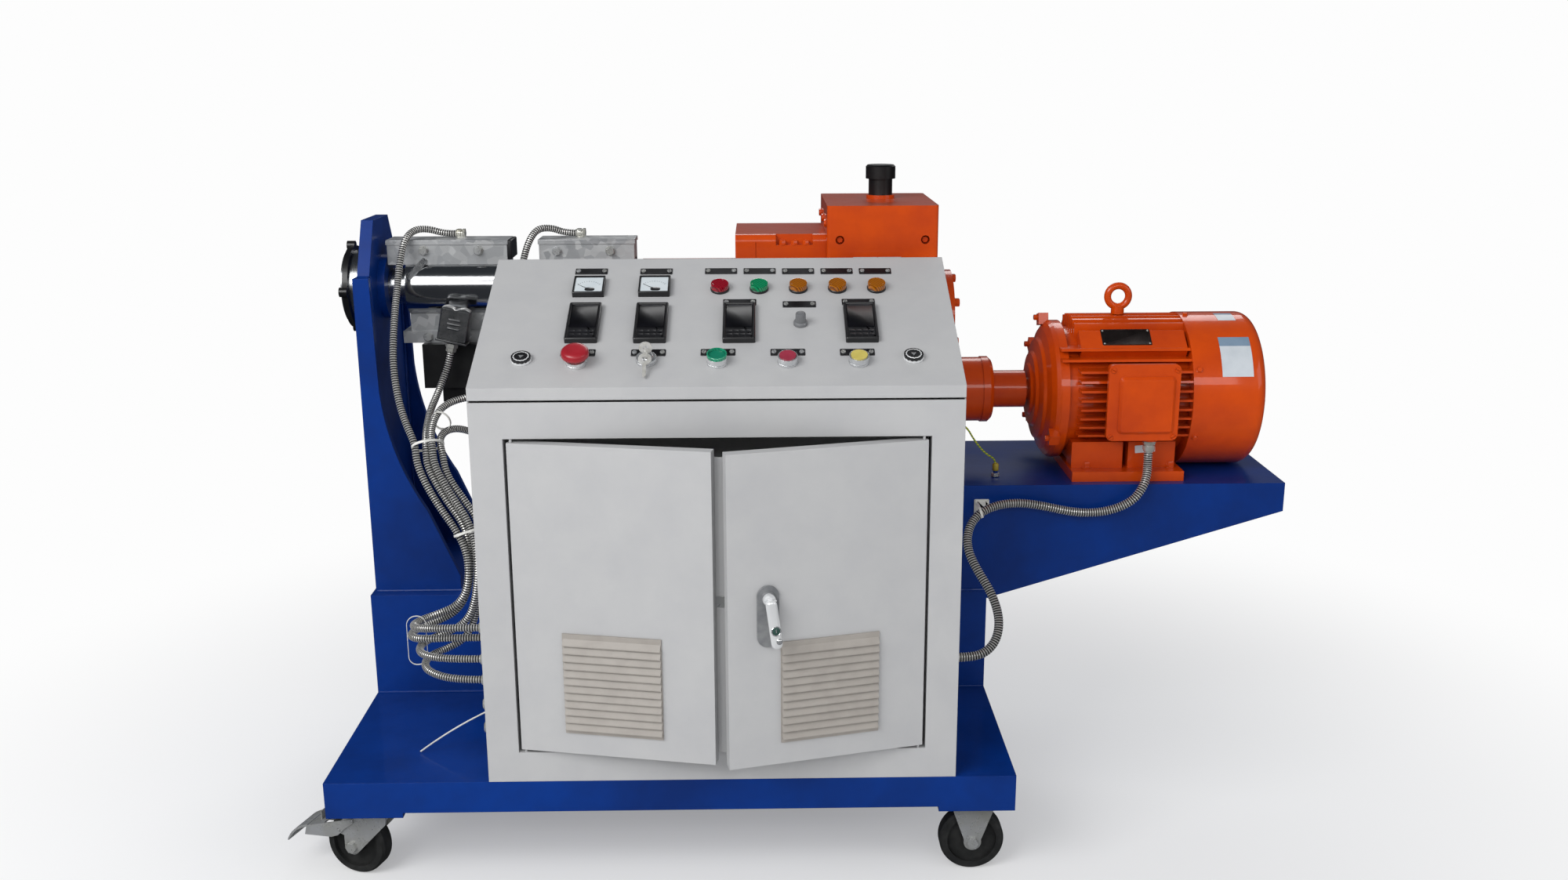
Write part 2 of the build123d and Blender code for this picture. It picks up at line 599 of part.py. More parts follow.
def heater_shells():
    """Polished stainless jackets round the heater bands."""
    shells = []
    for x0, x1 in SHELL_SPANS:
        shell = rod_x(x0, x1, AXIS_Y, AXIS_Z, SHELL_R)
        shell -= rod_x(x0 - 1, x1 + 1, AXIS_Y, AXIS_Z, BARREL_R + RUN_GAP)
        shells.append(shell)
    return Compound(children=shells)


def heater_boxes():
    """Galvanised terminal boxes along the top of the jackets and clamp strips under them."""
    boxes = []
    for (x0, x1), (s0, s1) in zip(BOX_SPANS, SHELL_SPANS):
        top = block(x0, x1, AXIS_Y - BOX_DEPTH / 2, AXIS_Y + BOX_DEPTH / 2, AXIS_Z, BOX_HIGH)
        low = block(s0 - 12, s1, AXIS_Y - BOX_DEPTH / 2, AXIS_Y + BOX_DEPTH / 2, STRIP_LOW, STRIP_HIGH)
        low += block(s0, s1, AXIS_Y - BOX_DEPTH / 2 + 8, AXIS_Y + BOX_DEPTH / 2 - 8, STRIP_HIGH, AXIS_Z)
        jacket = rod_x(x0 - 20, x1 + 20, AXIS_Y, AXIS_Z, SHELL_R + RUN_GAP)
        boxes.append(top - jacket)
        boxes.append(low - jacket)
    return Compound(children=boxes)


def power_plug():
    """Cast aluminium heater plug, pushed on to its socket on the front of the jacket."""
    tilt = Pos(*PLUG_AT) * Rot(0, PLUG_TILT, 0)
    body = tilt * Box(*PLUG_SIZE)
    body += tilt * Pos(0, 0, 6 - PLUG_GLAND_DOWN) * Cylinder(9, 12)
    x, y, z = PLUG_AT
    end = AXIS_Y - SHELL_R + SOCKET_BITE
    socket = block(x - SOCKET_HALF, x + SOCKET_HALF, y + 8, end, z - SOCKET_DOWN, z + SOCKET_UP)
    socket -= rod_x(x - 2 * SOCKET_HALF, x + 2 * SOCKET_HALF, AXIS_Y, AXIS_Z, SHELL_R + RUN_GAP)
    return body + socket


def barrel_blower():
    """Cooling blower under the first jacket."""
    body = block(*BLOWER_SPAN, AXIS_Y - BLOWER_HALF, AXIS_Y + BLOWER_HALF, BLOWER_SHOULDER, STRIP_LOW)
    body += block(*BLOWER_NECK, AXIS_Y - BLOWER_NECK_HALF, AXIS_Y + BLOWER_NECK_HALF,
                  BLOWER_LOW, BLOWER_SHOULDER)
    return body


def feed_section():
    """Feed block with a round throat in a square flange, ready for a hopper."""
    body = block(FEED_LEFT, FEED_RIGHT, AXIS_Y - FEED_HALF, AXIS_Y + FEED_HALF, AXIS_Z - 58, FEED_TOP)
    body += rod_x(FEED_RIGHT, THRUST_LEFT, AXIS_Y, AXIS_Z, 44)
    middle = (FEED_LEFT + FEED_RIGHT) / 2
    body -= rod_z(middle, AXIS_Y, AXIS_Z, FEED_TOP + 1, THROAT_R)
    body -= rod_x(FEED_LEFT - 1, middle + THROAT_R, AXIS_Y, AXIS_Z, BORE_R)
    return body


def gearbox_housing():
    """Tall gear case on two feet, with the round input and bearing covers on its right side."""
    back = 2 * AXIS_Y - GEAR_FRONT
    body = block(GEAR_LEFT, GEAR_RIGHT, GEAR_FRONT, back, SHELF_TOP + GEAR_FOOT, GEAR_TOP)
    body = fillet(body.edges().filter_by(Axis.Z), 6)
    body += block(GEAR_LEFT - 26, GEAR_RIGHT + 8, GEAR_FRONT - 10, back + 10,
                  SHELF_TOP, SHELF_TOP + GEAR_FOOT)
    body += rod_x(GEAR_RIGHT, GEAR_RIGHT + 36, AXIS_Y, BEARING_COVER_Z, BEARING_COVER_R)
    body += rod_z(CAP_X, CAP_Y, GEAR_TOP, GEAR_TOP + CAP_BOSS, CAP_BOSS_R)
    for x in (GEAR_LEFT + BOLT_INSET, GEAR_RIGHT - BOLT_INSET):
        body -= rod_y(x, GEAR_FRONT - 1, GEAR_FRONT + 12, GEAR_BOLT_Z, GEAR_BOLT_R)
    body += rod_x(GEAR_RIGHT, GEAR_RIGHT + 20, AXIS_Y, MOTOR_Z, 46)
    body -= rod_x(GEAR_RIGHT - 40, GEAR_RIGHT + 40, AXIS_Y, MOTOR_Z, SHAFT_R + RUN_GAP)
    return body


def thrust_housing():
    """Lower, rounded thrust bearing housing between the feed block and the gear case."""
    body = block(THRUST_LEFT, GEAR_LEFT, AXIS_Y - THRUST_HALF, AXIS_Y + THRUST_HALF,
                 AXIS_Z - 94, THRUST_TOP)
    body = fillet(body.edges().filter_by(Axis.X), 12)
    front = AXIS_Y - THRUST_HALF
    body -= block(*POCKET, front - 1, front + POCKET_DEPTH, POCKET_LOW, THRUST_TOP + 1)
    body -= block(THRUST_SEAM - 1, THRUST_SEAM, front - 1, front + 1, THRUST_TOP - 150, THRUST_TOP - 12)
    return body


def breather_cap():
    """Black filler and breather cap: a round neck under a wider cap with a chamfered top."""
    low = GEAR_TOP + CAP_BOSS
    cap = rod_z(CAP_X, CAP_Y, low, GEAR_TOP + 45, 20)
    head = rod_z(CAP_X, CAP_Y, GEAR_TOP + 33, GEAR_TOP + 56, 25)
    cap += chamfer(head.edges().filter_by(GeomType.CIRCLE).sort_by(Axis.Z)[-1], 3)
    return cap


def drive_coupling():
    """Flanged coupling on the gearbox input shaft, with the tube to the motor shaft."""
    body = rod_x(COUPLING_LEFT, COUPLING_SEAM, AXIS_Y, MOTOR_Z, COUPLING_R - 1.5)
    flange = rod_x(COUPLING_SEAM, COUPLING_RIGHT, AXIS_Y, MOTOR_Z, COUPLING_R)
    body += chamfer(flange.edges().filter_by(GeomType.CIRCLE).sort_by(Axis.X)[-1], COUPLING_CHAMFER)
    body += rod_x(COUPLING_RIGHT, BELL_LEFT - HUB_STOP, AXIS_Y, MOTOR_Z, HUB_TUBE_R)
    body += rod_x(GEAR_RIGHT - 30, COUPLING_LEFT, AXIS_Y, MOTOR_Z, SHAFT_R)
    body += rod_x(BELL_LEFT - HUB_STOP, BELL_LEFT + 20, AXIS_Y, MOTOR_Z, SHAFT_R)
    return body


def motor_body():
    """Cast frame with level fins on its sides, upright fins on top, flat shoulders and two-legged feet."""
    core = rod_x(BELL_RIGHT, BODY_RIGHT, AXIS_Y, MOTOR_Z, BODY_R)
    fins = []
    for i in range(SIDE_FINS):
        z = MOTOR_Z + SIDE_FIN_TOP - i * FIN_PITCH
        fins.append(block(FIN_LEFT, BODY_RIGHT, AXIS_Y - FIN_R, AXIS_Y + FIN_R,
                          z - FIN_THICK / 2, z + FIN_THICK / 2))
    for up in LONG_RIBS:
        fins.append(block(BELL_RIGHT, BODY_RIGHT, AXIS_Y - FIN_R, AXIS_Y + FIN_R,
                          MOTOR_Z + up - FIN_THICK, MOTOR_Z + up))
    for i in range(TOP_FINS):
        y = AXIS_Y + (i - (TOP_FINS - 1) / 2) * FIN_PITCH
        fins.append(block(FIN_LEFT, BODY_RIGHT, y - FIN_THICK / 2, y + FIN_THICK / 2,
                          MOTOR_Z, MOTOR_Z + FIN_R))
    pad = Pos(0, 0, SHOULDER_OUT / 2) * Box(SHOULDER_LENGTH, SHOULDER_WIDTH, SHOULDER_OUT)
    centre = Pos((FIN_LEFT + BODY_RIGHT) / 2, AXIS_Y, MOTOR_Z)
    for turn in (-SHOULDER_TURN, SHOULDER_TURN):
        fins.append(centre * Rot(turn, 0, 0) * pad)
    trimmed = [fin & rod_x(BELL_RIGHT, BODY_RIGHT, AXIS_Y, MOTOR_Z, FIN_R) for fin in fins]
    body = core + trimmed
    body += rod_x(BELL_RIGHT, BELL_RIGHT + RIM_LENGTH, AXIS_Y, MOTOR_Z, BELL_R)
    body += block(FOOT_LEFT, FOOT_RIGHT, AXIS_Y - FOOT_HALF, AXIS_Y + FOOT_HALF,
                  SHELF_TOP, SHELF_TOP + FOOT_THICK)
    middle = (FOOT_LEFT + FOOT_RIGHT) / 2
    for x0, x1 in ((FOOT_LEFT + 3, middle - LEG_SPLIT / 2), (middle + LEG_SPLIT / 2, FOOT_RIGHT - 10)):
        legs = block(x0, x1, AXIS_Y - LEG_HALF, AXIS_Y + LEG_HALF, SHELF_TOP, MOTOR_Z - LEG_UP)
        legs -= block(x0 - 1, x1 + 1, AXIS_Y - LEG_GAP, AXIS_Y + LEG_GAP, SHELF_TOP - 1, MOTOR_Z - BODY_R)
        body += legs
    return body


def motor_end_bell():
    """Drive-end bell: a domed shield in concentric steps, with bolted ears that overlap the frame's rim."""
    hole = SHAFT_R + RUN_GAP
    dome = [(radius, BELL_LEFT + out) for radius, out in BELL_STEPS]
    outline = [(hole, dome[0][1]), *dome, (BELL_R, BELL_RIGHT), (hole, BELL_RIGHT)]
    bell = revolve(make_face(Polyline(*outline, close=True)), Axis.Y)
    bell = Pos(0, AXIS_Y, MOTOR_Z) * Rot(0, 0, -90) * bell
    for angle in EAR_ANGLES:
        ear = Pos(0, 0, (BELL_R + EAR_OUT) / 2 - 4) * Box(EAR_LENGTH, EAR_WIDTH, EAR_OUT - BELL_R + 8)
        bell += Pos(BELL_RIGHT - EAR_LENGTH / 2, AXIS_Y, MOTOR_Z) * Rot(angle, 0, 0) * ear
    return bell


def motor_fan_cover():
    """Pressed fan cowl with a rolled back edge, over the end of the frame."""
    cowl = rod_x(BODY_RIGHT, COWL_RIGHT, AXIS_Y, MOTOR_Z, COWL_R)
    cowl = fillet(cowl.edges().filter_by(GeomType.CIRCLE).sort_by(Axis.X)[-1], 20)
    return cowl


def rounded_y(x0, x1, z0, z1, y0, y1, r):
    """Block along Y with its four edges along Y rounded."""
    body = block(x0, x1, y0, y1, z0, z1)
    return fillet(body.edges().filter_by(Axis.Y), r)


def motor_terminal_box():
    """Terminal box on the front of the motor: a deep body, a wider cover flange and a raised centre pad."""
    face = TBOX_FRONT + TBOX_PAD
    back = face + TBOX_COVER
    box = rounded_y(TBOX_LEFT + 7, TBOX_RIGHT - 7, TBOX_LOW + 7, TBOX_HIGH - 7, back, AXIS_Y - 90, 8)
    box += rounded_y(TBOX_LEFT, TBOX_RIGHT, TBOX_LOW, TBOX_HIGH, face, back, 10)
    pad = rounded_y(TBOX_LEFT + 18, TBOX_RIGHT - 8, TBOX_LOW + 12, TBOX_HIGH - 20, TBOX_FRONT, face, 8)
    box += chamfer(pad.faces().sort_by(Axis.Y)[0].edges(), TBOX_PAD - 1.5)
    box += rod_z(*MOTOR_GLAND, TBOX_LOW - TBOX_BOSS, TBOX_LOW + 8, GLAND_R + 3)
    box -= rod_x(TBOX_LEFT - 10, TBOX_RIGHT + 10, AXIS_Y, MOTOR_Z, FIN_R + RUN_GAP)
    return box


def lifting_eye():
    """Forged eye bolt on top of the motor."""
    eye = Pos(EYE_X, AXIS_Y, EYE_TOP - 24) * Rot(90, 0, 0) * Torus(18, 6)
    eye += rod_z(EYE_X, AXIS_Y, MOTOR_Z + FIN_R + RUN_GAP, EYE_TOP - 40, 11)
    return eye


def cabinet_front():
    """Front frame with the door opening, its return flanges and the pins that the doors turn on."""
    top = CAB_FRONT_TOP - LID_LIP - LID_SEAM
    body = block(-CAB_HALF, CAB_HALF, 0, CAB_SHEET, DECK_TOP, top)
    edge = CAB_SHEET
    body += block(-OPENING_HALF - edge, OPENING_HALF + edge, 0, FRAME_RETURN,
                  OPENING_LOW - edge, OPENING_HIGH + edge)
    body -= block(-OPENING_HALF, OPENING_HALF, -1, FRAME_RETURN + 1, OPENING_LOW, OPENING_HIGH)
    for side in (-1, 1):
        body += rod_z(side * PIN_X, PIN_Y, OPENING_LOW - 1, DOOR_LOW + 8, DOOR_PIN_R)
        body += rod_z(side * PIN_X, PIN_Y, DOOR_HIGH - 8, OPENING_HIGH + 1, DOOR_PIN_R)
    return body


def cabinet_sides():
    """The two side sheets, with a bank of pressed louvres high on each."""
    drop = LID_LIP + LID_SEAM
    y0 = CAB_SHEET
    y1 = CAB_DEPTH - CAB_SHEET
    line = [(y0, DECK_TOP), (y1, DECK_TOP), (y1, slope_z(y1) - drop), (y0, slope_z(y0) - drop)]
    sides = []
    for side in (-1, 1):
        inner = side * (CAB_HALF - CAB_SHEET)
        outer = side * CAB_HALF
        sheet = plate_x(line, min(inner, outer), max(inner, outer))
        for i in range(LOUVRE_COUNT):
            z = LOUVRE_LOW + i * LOUVRE_PITCH
            wedge = [(outer - side * 0.5, z + LOUVRE_PITCH - 2), (outer - side * 0.5, z),
                     (outer + side * LOUVRE_PROUD, z)]
            sheet += plate_y(wedge, LOUVRE_FRONT, LOUVRE_FRONT + LOUVRE_LENGTH)
        sides.append(sheet)
    return Compound(children=sides)


def cabinet_back():
    """Back sheet and floor, folded from one piece, with the fixed knuckles of the lid's hinges."""
    top = CAB_BACK_TOP - LID_LIP - LID_SEAM
    body = block(-CAB_HALF, CAB_HALF, CAB_DEPTH - CAB_SHEET, CAB_DEPTH, DECK_TOP, top)
    body += block(-CAB_HALF + CAB_SHEET, CAB_HALF - CAB_SHEET, CAB_SHEET, CAB_DEPTH, DECK_TOP,
                  DECK_TOP + CAB_SHEET)
    for x in LID_HINGE_X:
        knuckle_end = x + LID_HINGE_WIDTH
        body += block(x, knuckle_end, CAB_DEPTH, CAB_DEPTH + 3, top - 50, top)
        body += block(x, knuckle_end, CAB_DEPTH + 1, CAB_DEPTH + 4, top - 50, LID_HINGE_Z)
        body += rod_x(x, knuckle_end, LID_HINGE_Y, LID_HINGE_Z, LID_HINGE_R)
        body += rod_x(knuckle_end - 1, knuckle_end + LID_HINGE_WIDTH, LID_HINGE_Y, LID_HINGE_Z, LID_PIN_R)
    return body


def door(mirror):
    """Folded pan door in its closed place, hinged on the side given by mirror (-1 left, 1 right)."""
    x0 = mirror * DOOR_EDGE
    x1 = mirror * DOOR_MEETING
    lo = min(x0, x1)
    hi = max(x0, x1)
    y0 = -DOOR_PROUD
    y1 = DOOR_DEPTH - DOOR_PROUD
    body = block(lo, hi, y0, y1, DOOR_LOW, DOOR_HIGH)
    body -= block(lo + CAB_SHEET, hi - CAB_SHEET, y0 + CAB_SHEET, y1 + 1,
                  DOOR_LOW + CAB_SHEET, DOOR_HIGH - CAB_SHEET)
    for z in (DOOR_LOW, DOOR_HIGH):
        body -= rod_z(mirror * PIN_X, PIN_Y, z - 3, z + 3, DOOR_PIN_R + RUN_GAP)
    vent_x = mirror * (DOOR_EDGE - VENT_FROM_HINGE - VENT_WIDTH / 2)
    body -= block(vent_x - VENT_WIDTH / 2 + 15, vent_x + VENT_WIDTH / 2 - 15, y0 - 1, y0 + 5,
                  VENT_LOW + 15, VENT_LOW + VENT_HEIGHT - 15)
    return body


def vent(mirror):
    """Moulded vent: a flat rim round sloping slats over a backing sheet."""
    middle = mirror * (DOOR_EDGE - VENT_FROM_HINGE - VENT_WIDTH / 2)
    x0 = middle - VENT_WIDTH / 2
    x1 = middle + VENT_WIDTH / 2
    face = -DOOR_PROUD
    body = block(x0, x1, face - VENT_BASE, face, VENT_LOW, VENT_LOW + VENT_HEIGHT)
    pitch = (VENT_HEIGHT - 2 * 6) / VENT_SLATS
    for i in range(VENT_SLATS):
        z = VENT_LOW + 6 + i * pitch
        line = [(face - VENT_BASE, z + pitch * 0.85), (face - VENT_BASE, z), (face - VENT_PROUD, z),
                (face - VENT_PROUD, z + 1.5)]
        body += plate_x(line, x0 + 1, x1 - 1)
    return body


def swing(mirror, shape):
    """Turn a closed door piece about its pins to where the door stands ajar."""
    angle = -LEFT_AJAR if mirror < 0 else RIGHT_AJAR
    return Pos(mirror * PIN_X, PIN_Y, 0) * Rot(0, 0, angle) * Pos(-mirror * PIN_X, -PIN_Y, 0) * shape


def handle_dish():
    """Long oval dish of the swing handle, screwed to the right door."""
    x = DOOR_EDGE - HANDLE_FROM_HINGE
    face = -DOOR_PROUD
    sketch = Plane.XZ * SlotOverall(DISH_HEIGHT, DISH_WIDTH, rotation=90)
    dish = Pos(x, face, HANDLE_MIDDLE) * extrude(sketch, amount=DISH_THICK, dir=(0, -1, 0))
    dish += rod_y(x, face - DISH_THICK - 2, face - DISH_THICK + 1, HANDLE_MIDDLE + SPINDLE_UP, SPINDLE_R + 2)
    return dish


def spindle_at():
    """Place of the handle's turning axis on the closed right door."""
    face = -DOOR_PROUD - DISH_THICK - 2
    return DOOR_EDGE - HANDLE_FROM_HINGE, face - RUN_GAP, HANDLE_MIDDLE + SPINDLE_UP


def lever_pin_y():
    """Depth of the lever's cross pin on the closed right door."""
    return spindle_at()[1] - SPINDLE_HEIGHT - LEVER_STAND


def turned(shape):
    """Turn a handle piece about its spindle to where the lever hangs."""
    x, y, z = spindle_at()
    return Pos(x, y, z) * Rot(0, -LEVER_TURN, 0) * Pos(-x, -y, -z) * shape


def handle_spindle():
    """Round boss that turns in the dish, with a lug that carries the lever on a cross pin."""
    x, y, z = spindle_at()
    pin_y = lever_pin_y()
    boss = rod_y(x, y - SPINDLE_HEIGHT, y, z, SPINDLE_R)
    boss += block(x - LUG_HALF, x + LUG_HALF, pin_y, y - SPINDLE_HEIGHT, z - LUG_R, z + LUG_R)
    boss += rod_x(x - LUG_HALF, x + LUG_HALF, pin_y, z, LUG_R)
    boss += rod_x(x - LEVER_WIDTH / 2, x + LEVER_WIDTH / 2, pin_y, z, LEVER_PIN_R)
    return turned(boss)


def handle_lever():
    """Chromed lever, hollow behind, lifted a little and swung to one side."""
    x, y, z = spindle_at()
    pin_y = lever_pin_y()
    back = y - SPINDLE_HEIGHT - LEVER_GAP
    outline = Plane.XZ * SlotOverall(LEVER_LENGTH + LEVER_WIDTH, LEVER_WIDTH, rotation=90)
    pocket = Plane.XZ * SlotOverall(LEVER_LENGTH + LEVER_WIDTH - 6, LEVER_WIDTH - 6, rotation=90)
    middle = Pos(x, back, z + LEVER_PAST_PIN - (LEVER_LENGTH + LEVER_WIDTH) / 2)
    lever = middle * extrude(outline, amount=LEVER_THICK, dir=(0, -1, 0))
    depth = LEVER_THICK - LEVER_WALL
    lever -= middle * extrude(pocket, amount=depth, dir=(0, -1, 0))
    slot = LUG_HALF + LUG_SIDE_GAP
    lever -= block(x - slot, x + slot, back - depth, back, z - 8, z + LUG_R + LUG_SWING_GAP)
    lever -= rod_x(x - LEVER_WIDTH, x + LEVER_WIDTH, pin_y, z, LEVER_PIN_R + RUN_GAP)
    lifted = Pos(x, pin_y, z) * Rot(-LEVER_LIFT, 0, 0) * Pos(-x, -pin_y, -z) * lever
    return turned(lifted)


def console_lid():
    """Sloping instrument lid: a shallow folded pan with hinge knuckles along its back edge."""
    line = [(0, CAB_FRONT_TOP), (CAB_DEPTH, CAB_BACK_TOP), (CAB_DEPTH, CAB_BACK_TOP - LID_LIP),
            (0, CAB_FRONT_TOP - LID_LIP)]
    lid = plate_x(line, -CAB_HALF, CAB_HALF)
    wall = CAB_SHEET
    skin = CAB_SHEET / math.cos(SLOPE)
    hollow = [(wall, slope_z(wall) - skin), (CAB_DEPTH - wall, slope_z(CAB_DEPTH - wall) - skin),
              (CAB_DEPTH - wall, CAB_FRONT_TOP - 60), (wall, CAB_FRONT_TOP - 60)]
    lid -= plate_x(hollow, -CAB_HALF + wall, CAB_HALF - wall)
    for x in LID_HINGE_X:
        x0 = x + LID_HINGE_WIDTH + 1
        x1 = x0 + LID_HINGE_WIDTH - 1
        lid += block(x0, x1, CAB_DEPTH - 1, LID_HINGE_Y, LID_HINGE_Z - 3, LID_HINGE_Z + 3)
        lid += rod_x(x0, x1, LID_HINGE_Y, LID_HINGE_Z, LID_HINGE_R)
        lid -= rod_x(x0 - 1, x1 + 1, LID_HINGE_Y, LID_HINGE_Z, LID_PIN_R + RUN_GAP)
    return lid


def panel_meters():
    """Two square panel meters."""
    meter = Pos(0, 0, METER_PROUD / 2) * Box(METER_SIZE, METER_SIZE, METER_PROUD)
    return Compound(children=[on_panel(*at) * meter for at in METER_AT])


def panel_controllers():
    """Four upright digital controllers."""
    case = Pos(0, 0, CONTROLLER_PROUD / 2) * Box(CONTROLLER_WIDTH, CONTROLLER_HEIGHT, CONTROLLER_PROUD)
    return Compound(children=[on_panel(*at) * case for at in CONTROLLER_AT])


def pilot_lamps():
    """Five round pilot lamps with flat lenses."""
    lamp = Pos(0, 0, LAMP_PROUD / 2) * Cylinder(LAMP_R, LAMP_PROUD)
    return Compound(children=[on_panel(*at) * lamp for at in LAMP_AT])


def switch_collars():
    """Fixed collars of the push buttons, the key switch, the emergency stop and the speed knob."""
    rings = []
    for at in BUTTON_AT.values():
        ring = on_panel(*at) * Pos(0, 0, COLLAR_HEIGHT / 2) * Cylinder(COLLAR_R, COLLAR_HEIGHT)
        ring -= on_panel(*at) * Pos(0, 0, COLLAR_HEIGHT) * Cylinder(CAP_R + RUN_GAP, 2 * COLLAR_HEIGHT - 4)
        rings.append(ring)
    base = on_panel(*ESTOP_AT) * Pos(0, 0, 4) * Cylinder(COLLAR_R, 8)
    base -= on_panel(*ESTOP_AT) * Pos(0, 0, 8) * Cylinder(8 + RUN_GAP, 14)
    rings.append(base)
    key = on_panel(*KEY_AT) * Pos(0, 0, 4) * Cylinder(COLLAR_R, 8)
    key -= on_panel(*KEY_AT) * Pos(0, 0, 8) * Cylinder(10 + RUN_GAP, 12)
    rings.append(key)
    return Compound(children=rings)


def emergency_stop():
    """Mushroom head on a stem."""
    outline = Polyline((0, ESTOP_TRAVEL + 1.5), (8, ESTOP_TRAVEL + 1.5), (8, 14), (ESTOP_R - 1, 14),
                       (ESTOP_R, 17), (ESTOP_R, 21), (ESTOP_R - 6, ESTOP_HEIGHT), (0, ESTOP_HEIGHT),
                       close=True)
    head = revolve(Plane.XZ * make_face(outline), Axis.Z)
    return on_panel(*ESTOP_AT) * head


def push_button(colour):
    """Flat button cap that slides inside its collar."""
    at = BUTTON_AT[colour]
    low = 4 + PUSH_TRAVEL
    high = COLLAR_HEIGHT + CAP_STAND
    return on_panel(*at) * Pos(0, 0, (low + high) / 2) * Cylinder(CAP_R, high - low)


def key_switch():
    """Lock barrel with its key in place."""
    lock = Pos(0, 0, 6.5) * Cylinder(10, 8)
    lock += Pos(0, 0, 12) * Box(8, 2.2, 8)
    lock += Pos(0, 0, 22) * Rot(90, 0, 0) * Cylinder(9, 2.2)
    return on_panel(*KEY_AT) * lock


def speed_knob():
    """Skirted speed knob."""
    outline = Polyline((0, RUN_GAP), (KNOB_R, RUN_GAP), (KNOB_R, 5), (8, 8), (7, KNOB_HEIGHT - 1),
                       (6, KNOB_HEIGHT), (0, KNOB_HEIGHT), close=True)
    return on_panel(*KNOB_AT) * revolve(Plane.XZ * make_face(outline), Axis.Z)


def lid_lock(index):
    """Quarter-turn lock that holds the lid down."""
    at = LOCK_AT[index]
    lock = Pos(0, 0, RUN_GAP + LOCK_PROUD / 2) * Cylinder(LOCK_R, LOCK_PROUD)
    return on_panel(*at) * lock


def cable_glands():
    """Cable glands of the cabinet, the motor box, the heater boxes and the blower."""
    glands = [rod_x(-CAB_HALF - GLAND_LENGTH, -CAB_HALF, y, z, GLAND_R) for y, z in GLAND_AT]
    glands.append(rod_x(CAB_HALF, CAB_HALF + GLAND_LENGTH, *RIGHT_GLAND, GLAND_R + 1))
    boss_low = TBOX_LOW - TBOX_BOSS
    glands.append(rod_z(*MOTOR_GLAND, boss_low - GLAND_LENGTH, boss_low, GLAND_R))
    for x in BOX_GLANDS:
        elbow = rod_x(x, x + GLAND_LENGTH - 4, BOX_GLAND_Y, BOX_HIGH + BOX_GLAND_R, BOX_GLAND_R)
        elbow += block(x + 3, x + GLAND_LENGTH - 7, BOX_GLAND_Y - 6, BOX_GLAND_Y + 6,
                       BOX_HIGH, BOX_HIGH + BOX_GLAND_R)
        glands.append(elbow)
    glands.append(rod_z(*BLOWER_GLAND, BLOWER_LOW - GLAND_LENGTH, BLOWER_LOW, GLAND_R))
    return Compound(children=glands)


def conduit(label, route, r):
    """A round conduit along straight runs joined by tangent arcs, as large as the runs allow."""
    points = [Vector(*point) for point in route]
    runs = [(b - a) for a, b in zip(points, points[1:])]
    radii = []
    for before, after in zip(runs, runs[1:]):
        half_turn = math.radians(before.get_angle(after)) / 2
        radii.append(0.45 * min(before.length, after.length) / math.tan(half_turn))
    path = FilletPolyline(*points, radius=radii)
    section = Plane(origin=points[0], z_dir=runs[0]) * Circle(r)
    tube = sweep(section, path=path)
    expected = math.pi * r * r * path.length
    print(label, "length", round(path.length), "tightest", round(min(radii)),
          "volume", round(tube.volume / expected, 4))
    return tube


nodes = {
    "deck": deck(),
    "pedestal": pedestal(),
    "motor_shelf": motor_shelf(),
    "barrel_bracket": barrel_bracket(),
    "caster_plates": caster_plates(),
    "brake_pedal": brake_pedal(),
    "cabinet_front": cabinet_front(),
    "cabinet_sides": cabinet_sides(),
    "cabinet_back": cabinet_back(),
    "door_left": swing(-1, door(-1)),
    "door_right": swing(1, door(1)),
    "vent_left": swing(-1, vent(-1)),
    "vent_right": swing(1, vent(1)),
    "handle_dish": swing(1, handle_dish()),
    "handle_spindle": swing(1, handle_spindle()),
    "handle_lever": swing(1, handle_lever()),
    "console_lid": console_lid(),
    "panel_meters": panel_meters(),
    "panel_controllers": panel_controllers(),
    "pilot_lamps": pilot_lamps(),
    "switch_collars": switch_collars(),
    "emergency_stop": emergency_stop(),
    "key_switch": key_switch(),
    "speed_knob": speed_knob(),
    "lid_lock_left": lid_lock(0),
    "lid_lock_right": lid_lock(1),
    "barrel": barrel(),
    "die_clamp": die_clamp(),
    "heater_shells": heater_shells(),
    "heater_boxes": heater_boxes(),
    "power_plug": power_plug(),
    "barrel_blower": barrel_blower(),
    "feed_section": feed_section(),
    "gearbox_housing": gearbox_housing(),
    "thrust_housing": thrust_housing(),
    "breather_cap": breather_cap(),
    "drive_coupling": drive_coupling(),
    "motor_body": motor_body(),
    "motor_end_bell": motor_end_bell(),
    "motor_fan_cover": motor_fan_cover(),
    "motor_terminal_box": motor_terminal_box(),
    "lifting_eye": lifting_eye(),
    "cable_glands": cable_glands(),
    "heater_conduit_front": conduit("heater_conduit_front", HEATER_FRONT_ROUTE, CONDUIT_R),
    "heater_conduit_rear": conduit("heater_conduit_rear", HEATER_REAR_ROUTE, CONDUIT_R),
    "plug_conduit": conduit("plug_conduit", PLUG_ROUTE, CONDUIT_R),
    "blower_conduit": conduit("blower_conduit", BLOWER_ROUTE, CONDUIT_R),
    "motor_conduit": conduit("motor_conduit", MOTOR_ROUTE, MOTOR_CONDUIT_R),
    "earth_wire": conduit("earth_wire", EARTH_ROUTE, EARTH_R),
}
CORDS = ["heater_conduit_front", "heater_conduit_rear", "plug_conduit", "blower_conduit",
         "motor_conduit", "earth_wire"]
for name in CASTERS:
    nodes["caster_fork_" + name] = caster_fork(name)
    nodes["caster_wheel_" + name] = caster_wheel(name)
for colour in BUTTON_AT:
    nodes["button_" + colour] = push_button(colour)

